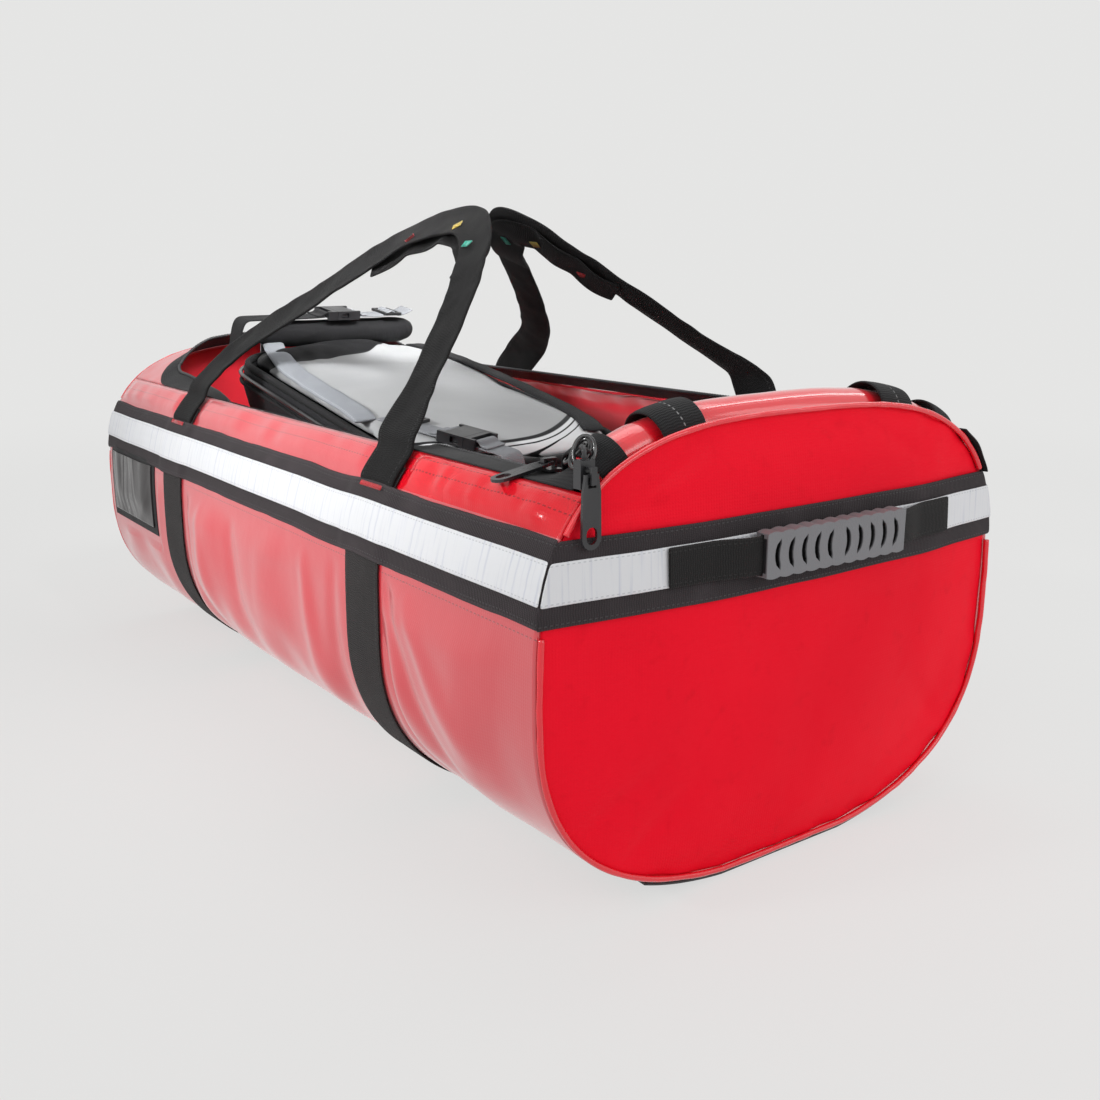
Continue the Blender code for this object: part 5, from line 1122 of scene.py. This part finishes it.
def strap_grid(route, width, side, offset, seed):
    """A strap along a route of (x, climb) points, with soft cupping and edge waves."""
    columns = 13
    line = np.array(spline([(x, climb, 0) for x, climb in route], 10))[:, :2]
    way = unit(np.gradient(line, axis=0))
    total = lengths_of(line)
    grid_u, grid_t = grid(total, np.linspace(-1, 1, columns))
    ends = rise(np.minimum(grid_u, total[-1] - grid_u), 0.035, 0.075)
    if width == HANDLE_WIDTH:
        slim = 0.0140 - 0.0080 * (side < 0) * rise(-np.repeat(line[:, :1], columns, 1), 0.020, 0.090)
        width = width - slim * rise(np.repeat(line[:, 1:], columns, 1), 0.030, 0.090)
    wide = width / 2 + 0.0006 * wobble(grid_u, 0, 0.030, seed) * ends
    x = line[:, None, 0] + way[:, None, 1] * grid_t * wide
    climb = line[:, None, 1] - way[:, None, 0] * grid_t * wide
    cup = ends * (0.0016 * grid_t ** 2 + 0.0012 * wobble(grid_u, grid_t * 0.02, 0.028, seed + 1)
                  + 0.0006 * wobble(grid_u, grid_t * 0.02, 0.011, seed + 2))
    lift = offset(total / total[-1])[:, None] if callable(offset) else offset
    lift = lift - 0.0022 * rise(-climb, 0.0030, 0.0095)
    points = handle_points(x, climb, side, lift + cup)
    return points, stack(grid_u, grid_t * width / 2)


def under_handle(share):
    """How far the loops' webbing hangs off the handle's middle, sewn down at the ends of each loop."""
    hump = np.abs(np.sin(math.pi * 4 * share)) * 0.0034
    return -(HANDLE_THICKNESS / 2 + LOOP_THICKNESS / 2 + GAP + 0.0004 + hump)


def make_handles():
    """Handles, and the loops on them."""
    look = webbing("handle_webbing", (0.0075, 0.0072, 0.0075), HANDLE_WIDTH, (0.019, -0.019),
                   (0.034, 0.034, 0.035), edge=0.002)
    loop_look = webbing("loop_webbing", (0.0075, 0.0072, 0.0075), LOOP_WIDTH, (0.014, -0.014),
                        edge=0.0015)
    for (label, side), route, loops in zip(SIDES, (LEFT_ROUTE, RIGHT_ROUTE), (LEFT_LOOPS, RIGHT_LOOPS)):
        body = label + "_handle"
        points, uv = strap_grid(route, HANDLE_WIDTH, side, 0.0, 100 + side)
        piece = tape(label + "_handle_cloth", points, uv, look, None, [body], "black_webbing",
                     HANDLE_THICKNESS, side < 0)
        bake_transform(piece)
        points, uv = strap_grid(loops, LOOP_WIDTH, side, under_handle, 110 + side)
        tape(label + "_loops_cloth", points, uv, loop_look, body, [label + "_handle_loops"], "black_webbing",
             LOOP_THICKNESS, side < 0)
        make_bartacks(label, side, loops, body)


def make_bartacks(label, side, loops, body):
    """Coloured ones on both faces of the handle, and a red one at each foot."""
    line = spline([(x, climb, 0) for x, climb in loops], 20)
    colours = ("green", "yellow", "red") if side < 0 else ("red", "yellow", "green")
    for colour, share in zip(colours, (0.20, 0.44, 0.74)):
        place = int((len(line) - 1) * share)
        spot, after = line[place], line[place + 2]
        turn = math.atan2(after.y - spot.y, after.x - spot.x) + math.radians(40)
        for face, offset in (("outer", 0.0026), ("inner", -0.0062)):
            bartack(f"{label}_bartack_{colour}_{face}", spot.x, spot.y, turn, side, offset, THREADS[colour],
                    body, 0.0095, 0.0032)
    for label_end, end in ENDS:
        bartack(f"{label}_{label_end}_foot_bartack", end * FOOT_X, -0.0100, 0.0, side, 0.0024, THREADS["red"],
                "bag", 0.030, 0.0014)


def bartack(name, x, climb, turn, side, offset, colour, body, length, half):
    """A small block of zigzag thread sewn through the webbing."""
    step = np.arange(int(length / 0.00035))
    u = (step / (len(step) - 1) - 0.5) * length
    v = half * np.where(step % 2, 1.0, -1.0)
    points = handle_points(x + u * math.cos(turn) - v * math.sin(turn),
                           climb + u * math.sin(turn) + v * math.cos(turn), side, offset)
    look = cloth("thread_" + name, colour, 0.0006, 0.5, 0.3)
    tube(name, points, 0.00042, look, body, 6, slot="black_webbing")


# Grips


def grip_look():
    """Moulded rubber whose curved slots are darkened inside as painted shade."""
    made = moulded("grip_rubber", (0.165, 0.165, 0.175), 0.44, 0.0005, lighter_tone=1.2, scale=700.0)
    look = Look("grip_rubber", made)
    x, _, z = look.xyz()
    front = SHELL_X + float(dome(GRIP_Y, GRIP_HEIGHT)) + GRIP_STANDOFF + GRIP_DEPTH / 2
    depth = look.minus(front, look.math("ABSOLUTE", x))
    slots = look.span(look.apart(z, GRIP_HEIGHT), 0.0106, 0.0112, 1.0, 0.0)
    inside = look.times(look.span(depth, 0.0004, 0.0016), slots)
    plain = look.shader.inputs["Base Color"].links[0].from_socket
    # Painted shade: the floors of the slots, which lie deeper than the grip's face, are darkened to near
    # black.
    look.put(look.shader.inputs["Base Color"], look.mix(inside, plain, (0.010, 0.010, 0.011)))
    return made


def make_grips():
    """Both grips' looks, and their straps in halves that run from the grip down onto the bag."""
    look = grip_look()
    strap = webbing("grab_webbing", (0.022, 0.021, 0.021), NARROW_WEBBING, (0.0095, -0.0095), edge=0.0015)
    low = WEBBING + STRIPE + 5 * GAP + 0.001
    away, across = grid(np.linspace(0, 0.132, 70), np.linspace(-NARROW_WEBBING / 2, NARROW_WEBBING / 2, 9))
    share = rise(away, 0.067, 0.102)
    for label, end in ENDS:
        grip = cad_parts[label + "_grip"]
        grip.data.materials[0] = look
        round_edges(grip, 0.0012, 3)
        centre = GRIP_Y * end
        middle = SHELL_X + float(dome(centre, GRIP_HEIGHT)) + GRIP_STANDOFF
        for part, side in (("a", -1), ("b", 1)):
            y, z = centre + side * away, GRIP_HEIGHT + across
            x = middle * (1 - share) + (SHELL_X + dome(y, z) + low) * share
            x = x + 0.0004 * wobble(y, z, 0.012, 120) * share
            piece = tape(f"{label}_grab_cloth_{part}", stack(end * x, y, z), stack(away, across), strap, None,
                         [label + "_grab_strap"], "black_webbing", 0.0019, (side < 0) == (end > 0))
            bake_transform(piece)


def round_edges(node, width, segments):
    change = node.modifiers.new("round", "BEVEL")
    change.width, change.segments = width, segments
    change.limit_method, change.angle_limit = "ANGLE", math.radians(40)
    node.data.polygons.foreach_set("use_smooth", [True] * len(node.data.polygons))


# Child carrier


def rounded(length, width, corner, steps=14, straight=16):
    """Points of a rounded rectangle, anticlockwise, evenly spread on its straights."""
    points = []
    for quarter in range(4):
        along = (length / 2 - corner) * (1 if quarter in (0, 3) else -1)
        across = (width / 2 - corner) * (1 if quarter in (0, 1) else -1)
        for step in range(steps + 1):
            angle = math.pi / 2 * (quarter + step / steps)
            points.append((along + corner * math.cos(angle), across + corner * math.sin(angle)))
    closed = np.array(points + points[:1])
    total = lengths_of(closed)
    return resampled(closed, total, np.linspace(0, total[-1], 4 * (steps + straight) + 1)[:-1])


def level(ring, height):
    """A flat ring of points, lifted to a height."""
    return np.column_stack([ring, np.full(len(ring), height)])


def in_carrier(points):
    """Places points from the carrier's own frame, askew as the soft carrier lies."""
    flat = np.array(points, float)
    flat[..., 1] += CARRIER_SHEAR * flat[..., 0]
    return moved(flat, CARRIER)


def pad_top(x, y):
    """The crowned pad's height."""
    along, across = x / (PAD[0] / 2), y / (PAD[1] / 2)
    return PAD_THICKNESS + PAD_CROWN * (1 - along ** 2) * (1 - across ** 2)


def make_tub():
    """The tub, from its floor up its puckered wall to the plain collar under the rim."""
    look = cloth("carrier_cloth", (0.020, 0.020, 0.022), sewn=(0.012, 0.018, 0.060))
    floor = float(np.interp(TUB_FOOT_Y, OUTLINE.y[:600], OUTLINE.z[:600])) + WALL + 0.003 + 2 * GAP
    rim = rounded(*RIM)
    turn = Matrix.Rotation(CARRIER_TURN, 3, "Z")
    bottom = rounded(*TUB_BOTTOM)
    low = np.array([turn @ Vector((x, y + CARRIER_SHEAR * 0.5 * x, 0)) for x, y in bottom])
    low = low + (CARRIER_X, 0, floor)
    middle = low.mean(0)
    high, collar = in_carrier(level(rim, 0.0)), in_carrier(level(rim, -0.020))
    share, around = grid(np.linspace(0, 1, 30), np.linspace(0, 1.2, len(rim)))
    wall = low + (collar - low) * share[..., None]
    out = wall - middle
    out[..., 2] = 0
    out /= np.linalg.norm(out, axis=2)[..., None]
    climb = share * 0.25
    relief = 0.0024 * wobble(around, climb, 0.05, 130) + 0.0012 * wobble(around, climb, 0.018, 131)
    wall = wall + out * ((relief - 0.001) * np.sin(np.pi * share) ** 0.7)[..., None]
    upper = np.linspace(0, 1, 9)[1:]
    points = np.array([low + (middle - low) * value for value in (0.9, 0.6, 0.3)] + list(wall)
                      + [collar + (high - collar) * value for value in upper])
    height = np.concatenate([[0.30, 0.27, 0.24], 0.21 - share[:, 0] * 0.19, 0.020 - upper * 0.020])
    uv = stack(*grid(height, lengths_of(np.vstack([high, high[:1]])))[::-1])
    surface("tub_cloth", points, uv, look, "carrier", ["carrier_tub"], "carrier_fabric", 0.0070, -1.0,
            wrap=(False, True))


SWELL_FRAMES = 18


def swell(piece, cap, pressure, voxel):
    """Cloth under pressure on a remeshed copy; no point moves further than cap."""
    change = piece.modifiers.new("even", "REMESH")
    change.mode, change.voxel_size, change.use_smooth_shade = "VOXEL", voxel, True
    apply_all(piece)
    start = np.array([vert.co for vert in piece.data.vertices])
    change = piece.modifiers.new("cloth", "CLOTH")
    settings = change.settings
    settings.quality = 6
    settings.mass = 0.25
    settings.use_pressure = True
    settings.uniform_pressure_force = pressure
    settings.tension_stiffness = settings.compression_stiffness = 15.0
    settings.bending_stiffness = 0.6
    settings.effector_weights.gravity = 0.0
    change.point_cache.frame_start, change.point_cache.frame_end = 1, SWELL_FRAMES
    scene = bpy.context.scene
    for step in range(1, SWELL_FRAMES + 1):
        scene.frame_set(step)
    apply_all(piece)
    scene.frame_set(1)
    shift = np.array([vert.co for vert in piece.data.vertices]) - start
    size = np.linalg.norm(shift, axis=1)
    shift *= np.minimum(1.0, cap / np.maximum(size, 1e-9))[:, None]
    piece.data.vertices.foreach_set("co", (start + shift).astype(np.float32).ravel())
    piece.data.update()
    add_subdivision(piece)


def apply_all(piece):
    """Makes the result of a piece's modifiers its mesh."""
    graph = bpy.context.evaluated_depsgraph_get()
    graph.update()
    mesh = bpy.data.meshes.new_from_object(piece.evaluated_get(graph))
    piece.modifiers.clear()
    piece.data = mesh


# The seam behind which the pad is quilted: its furthest point towards the foot end, and how it bends
HEAD_SEAM_X, HEAD_SEAM_BEND, SEAM_MIDDLE = -0.104, 7.5, -0.030


def pad_look():
    """Grey pad cloth between black quilting at the head and white trims at the foot end."""
    look = Look("pad_cloth", Sheen_Weight=0.02, Specular_IOR_Level=0.1)
    x, y, _ = look.xyz()
    patches = look.noise(9.0, 3.0, distortion=0.4)
    weave = look.times(look.wave(x, 0.0014), look.wave(y, 0.0014))
    colour = look.mix(look.span(patches, 0.35, 0.75), (0.345, 0.35, 0.355), (0.405, 0.41, 0.415))
    skew = look.plus(y, -SEAM_MIDDLE)
    square = look.times(skew, skew)
    foot = look.minus(x, look.math("MULTIPLY_ADD", square, -4.6, 0.186))
    colour = look.mix(look.span(foot, -0.0008, 0.0008), colour, (0.70, 0.71, 0.72))
    black = look.most(look.line(foot, 0.0, 0.0060), look.line(foot, 0.0090, 0.0020),
                      look.line(foot, 0.0170, 0.0016))
    head = look.minus(look.math("MULTIPLY_ADD", square, -HEAD_SEAM_BEND, HEAD_SEAM_X), x)
    behind = look.span(head, -0.0006, 0.0006)
    side = look.span(look.math("MULTIPLY_ADD", x, 0.085, y), 0.0905, 0.0915)
    colour = look.mix(look.most(black, behind, side), colour, (0.007, 0.007, 0.008))
    seam = look.most(look.line(foot, 0.0, 0.0080), look.line(head, 0.0, 0.0060))
    quilt = look.line(look.wave(head, 0.030), 1.0, 0.10)
    normal = look.relief((patches, 0.010, 0.25), (seam, 0.0016, -0.7),
                         (look.times(quilt, behind), 0.0020, -0.6), (weave, 0.0002, 0.5))
    return look.finish(colour, look.span(patches, 0.3, 0.8, 0.50, 0.66), normal)


def make_pad():
    """The pad in rings from its edge to its crown, quilted at the head."""
    outline = rounded(*PAD, RIM[2])
    rings = [level(outline * share, height)
             for share, height in ((0.955, 0.0006), (0.980, 0.0020), (0.990, 0.0050), (0.985, 0.0080))]
    for share in (0.965, 0.93, 0.88, 0.82, 0.74, 0.65, 0.55, 0.45, 0.34, 0.22, 0.10):
        x, y = (outline * share).T
        head = HEAD_SEAM_X - HEAD_SEAM_BEND * (y - SEAM_MIDDLE) ** 2 - x
        quilt = rise(head, -0.002, 0.018) * (1 - rise(-x, 0.150, 0.178)) * rise(1 - share, 0.03, 0.12)
        dip = 0.0022 * wobble(x, y, 0.10, 140) + 0.0010 * wobble(x, y, 0.04, 141)
        dip = dip + quilt * (0.0095 + 0.0035 * wobble(x, y, 0.024, 143))
        rings.append(stack(x, y, pad_top(x, y) - 0.0025 + dip))
    points = np.array(rings)
    uv = np.concatenate([points[..., :2], points[:, :1, :2]], 1)
    points[..., 1] += CARRIER_SHEAR * points[..., 0]
    piece = surface("pad_cloth", points, uv, pad_look(), None, wrap=(False, True), caps=True)
    swell(piece, 0.004, 2.5, 0.005)
    if not piece.modifiers:
        add_subdivision(piece)
    piece.matrix_world = CARRIER
    finish_piece(piece, "carrier", ["carrier_pad"], "grey_pad")


def rim_line(length, width, grow, height):
    """A line round the carrier, a little outside a rounded rectangle."""
    return in_carrier(level(rounded(length + 2 * grow, width + 2 * grow, RIM[2] + grow, 20, 30), height))


def piping_look():
    """The tub's welt is red round its foot end and black elsewhere."""
    look = Look("carrier_welt", Specular_IOR_Level=0.5, Coat_Weight=0.5, Coat_Roughness=0.15)
    patches = look.noise(60.0, 3.0)
    red = look.mix(look.span(patches, 0.3, 0.8), (0.66, 0.008, 0.018), (0.50, 0.004, 0.010))
    colour = look.mix(look.span(look.xyz()[0], 0.070, 0.082), (0.016, 0.016, 0.017), red)
    return look.finish(colour, look.span(patches, 0.3, 0.8, 0.26, 0.40), look.bump(patches, 0.0008, 0.4))


def pad_ribbon(name, look, line, half_width, lift, crown, slot, replaces=(), thick=0.0020, seed=150):
    """A soft strip over the pad; line holds (x, y, extra height) in the carrier's frame."""
    path = np.array(spline(line, 14))
    way = unit(np.gradient(path[:, :2], axis=0))
    grid_u, grid_t = grid(lengths_of(path), np.linspace(-1, 1, 15))
    x = path[:, None, 0] - way[:, None, 1] * grid_t * half_width
    y = path[:, None, 1] + way[:, None, 0] * grid_t * half_width
    ends = np.clip(np.minimum(grid_u, grid_u.max() - grid_u) / 0.010, 0, 1)
    swelling = crown * np.sqrt(np.clip(1 - grid_t ** 4, 0, 1)) * np.sqrt(ends)
    over = pad_top(np.clip(x, -PAD[0] / 2, PAD[0] / 2), np.clip(y, -PAD[1] / 2, PAD[1] / 2))
    z = over + lift + path[:, None, 2] + swelling + 0.0006 * wobble(grid_u, grid_t * 0.02, 0.02, seed)
    points = in_carrier(stack(x, y, z))
    return surface(name, points, stack(grid_u, grid_t * half_width), look, "carrier", replaces, slot,
                   thick, -1.0, smooth=1)


def make_carrier_trim():
    """Binding, piping and zip round the rim, and the strips and head roll on the pad."""
    black = cloth("edge_tape", (0.018, 0.018, 0.019), 0.0009)
    tube("edge_binding_cloth", rim_line(PAD[0], PAD[1], 0.0033, 0.0036), 0.0036, black, "carrier", 10, True,
         ["carrier_edge_binding"], "black_tape")
    tube("red_cord", rim_line(RIM[0], RIM[1], 0.0030, -0.0055), 0.0021, piping_look(), "carrier", 8, True,
         ["carrier_piping"], "red_piping")
    tube("tub_zip", rim_line(RIM[0], RIM[1], 0.0022, -0.0135), 0.0021, black, "carrier", 8, True,
         slot="carrier_fabric")
    grey = cloth("side_pad_cloth", (0.30, 0.315, 0.34), 0.0012, sewn=(0.0084, -0.0084), lighter_tone=1.2)
    line = [(-0.224, -0.062, -0.040), (-0.217, -0.066, -0.016), (-0.204, -0.071, 0.001),
            (-0.186, -0.076, 0.004), (-0.150, -0.085, 0.002), (-0.100, -0.094, 0.0), (-0.040, -0.099, 0.0),
            (0.020, -0.100, 0.0), (0.066, -0.101, 0.0), (0.090, -0.103, -0.001)]
    piece = pad_ribbon("side_pad_cloth", grey, line, 0.0098, 0.0008, 0.0022, "grey_webbing",
                       ["carrier_side_pad"], 0.0024)
    band = webbing("pad_band", (0.018, 0.018, 0.019), 0.020, (0.0078, -0.0078), pitch=0.0014)
    line = [(-0.170, 0.084, 0.0), (-0.120, 0.093, 0.001), (-0.050, 0.095, 0.002), (0.030, 0.095, 0.002),
            (0.100, 0.094, 0.001), (0.150, 0.090, 0.0), (0.186, 0.076, 0.0)]
    pad_ribbon("right_pad_band", band, line, 0.010, 0.0010, 0.0022, "carrier_fabric", seed=151)
    make_head_roll()


def make_head_roll():
    look = cloth("head_roll_cloth", (0.014, 0.014, 0.015), crease=1.5)
    centre = pad_top(HEAD_ROLL_X, 0.0) + HEAD_ROLL_RADIUS + GAP
    half = HEAD_ROLL_LENGTH / 2
    share, angle = grid(np.linspace(-1, 1, 46), np.linspace(0, 2 * math.pi, 33)[:-1])
    radius = np.maximum((HEAD_ROLL_RADIUS - 0.0012) * np.clip(1 - np.abs(share) ** 9, 0.0, 1) ** 0.5, 0.002)
    radius = radius * (1 + 0.05 * wobble(share * half, np.abs(angle - math.pi) * 0.015, 0.014, 160))
    points = stack(HEAD_ROLL_X + radius * np.cos(angle), share * HEAD_ROLL_LENGTH / 2,
                   centre + radius * np.sin(angle))
    uv = stack(*grid(share[:, 0] * half, np.linspace(0, 2 * math.pi * HEAD_ROLL_RADIUS, 33)))
    piece = surface("head_roll_cloth", in_carrier(points), uv, look, None, wrap=(False, True), caps=True)
    swell(piece, 0.0016, 3.0, 0.004)
    finish_piece(piece, "carrier", ["carrier_head_roll"], "carrier_fabric")


def make_hardware():
    """Buckles, ladder-locks, sliders and pulls keep their solids and get rounded edges."""
    plastic = moulded("buckle_plastic", (0.010, 0.010, 0.011), 0.28, 0.0002, specular=0.4, lighter_tone=2.2)
    metal = moulded("zip_metal", (0.009, 0.009, 0.010), 0.22, 0.0001, specular=0.6, lighter_tone=4.0)
    for name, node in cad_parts.items():
        if "buckle" in name or "ladder_lock" in name:
            node.data.materials[0] = plastic
            round_edges(node, 0.0007, 2)
        if "slider" in name or "pull" in name:
            node.data.materials[0] = metal
            round_edges(node, 0.0004, 2)


def cut_corners(points):
    """A softened version of a folded line that keeps both its ends."""
    line = np.array(points, float)
    for _ in range(3):
        first, second = line[:-1] * 0.75 + line[1:] * 0.25, line[:-1] * 0.25 + line[1:] * 0.75
        line = np.vstack([line[:1], np.stack([first, second], 1).reshape(-1, line.shape[1])[1:-1], line[-1:]])
    total = lengths_of(line)
    return resampled(line, total, np.linspace(0, total[-1], max(24, int(total[-1] / 0.0011))))


def carrier_strap(name, node, profile, place, look, body, seed):
    """Webbing along a folded line of (along, height) points in a strap's frame."""
    line = cut_corners(profile)
    grid_u, grid_t = grid(lengths_of(line), np.linspace(-1, 1, 11))
    height = line[:, 1:] + 0.00025 * wobble(grid_u, grid_t * 0.02, 0.014, seed)
    half = NARROW_WEBBING / 2 - 0.0004 * np.abs(wobble(grid_u, 0, 0.020, seed + 1))
    points = stack(np.repeat(line[:, :1], 11, 1), grid_t * half, height)
    return tape(name, moved(points, place), stack(grid_u, grid_t * NARROW_WEBBING / 2), look, body, [node],
                "grey_webbing", 0.0015)


def make_straps():
    """Each strap through its ladder-lock and round the female half's bar, and its end on the male half."""
    look = webbing("carrier_webbing", (0.31, 0.32, 0.34), NARROW_WEBBING, (), pitch=0.0013, sheen=0.04,
                   lighter_tone=1.2)
    weave = [(LADDER - 0.0057, STRAP_LOW), (LADDER - 0.0027, STRAP_HIGH), (LADDER + 0.0027, STRAP_HIGH),
             (LADDER + 0.0057, STRAP_LOW)]
    clear = 0.0011
    female, male = FEMALE_BAR - clear, MALE_BAR + clear
    over = [(FEMALE_BAR + BAR_REACH, STRAP_LOW), (FEMALE_BAR + BAR_REACH, STRAP_HIGH),
            (female, STRAP_HIGH), (female - 0.003, STRAP_SECOND), (female - 0.010, STRAP_SECOND)]
    back = [(male + 0.010, STRAP_SECOND), (male + 0.003, STRAP_SECOND), (male, STRAP_HIGH),
            (MALE_BAR - BAR_REACH, STRAP_HIGH), (MALE_BAR - BAR_REACH, STRAP_LOW)]
    for label, place, reach, drop, tail in (("lower", LOWER_STRAP, 0.0410, 0.045, 0.0),
                                            ("upper", UPPER_STRAP, 0.1041, 0.028, 0.006)):
        start = [(LADDER - 0.026, STRAP_LOW + tail), (LADDER - 0.016, STRAP_LOW + tail * 0.2)]
        carrier_strap(label + "_strap_cloth", label + "_strap", start + weave + over, place, look, "carrier",
                      175)
        fall = [(reach - 0.012, STRAP_LOW), (reach - 0.003, STRAP_LOW - 0.001), (reach + 0.0015, -0.008),
                (reach + 0.004, -drop)]
        if label == "upper":
            look = webbing("head_strap", (0.020, 0.020, 0.021), NARROW_WEBBING, pitch=0.0013)
        piece = carrier_strap(label + "_strap_end_cloth", label + "_strap_end", back + fall, place, look,
                              None, 176)
        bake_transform(piece)


def main():
    make_camera()
    make_world()
    make_floor()
    make_lamps()
    make_skin()
    make_end_panels()
    make_far_deck()
    make_piping()
    make_bands()
    make_load_straps()
    make_base()
    make_pocket()
    make_zip()
    make_lid()
    make_handles()
    make_grips()
    make_tub()
    make_pad()
    make_carrier_trim()
    make_hardware()
    make_straps()


main()
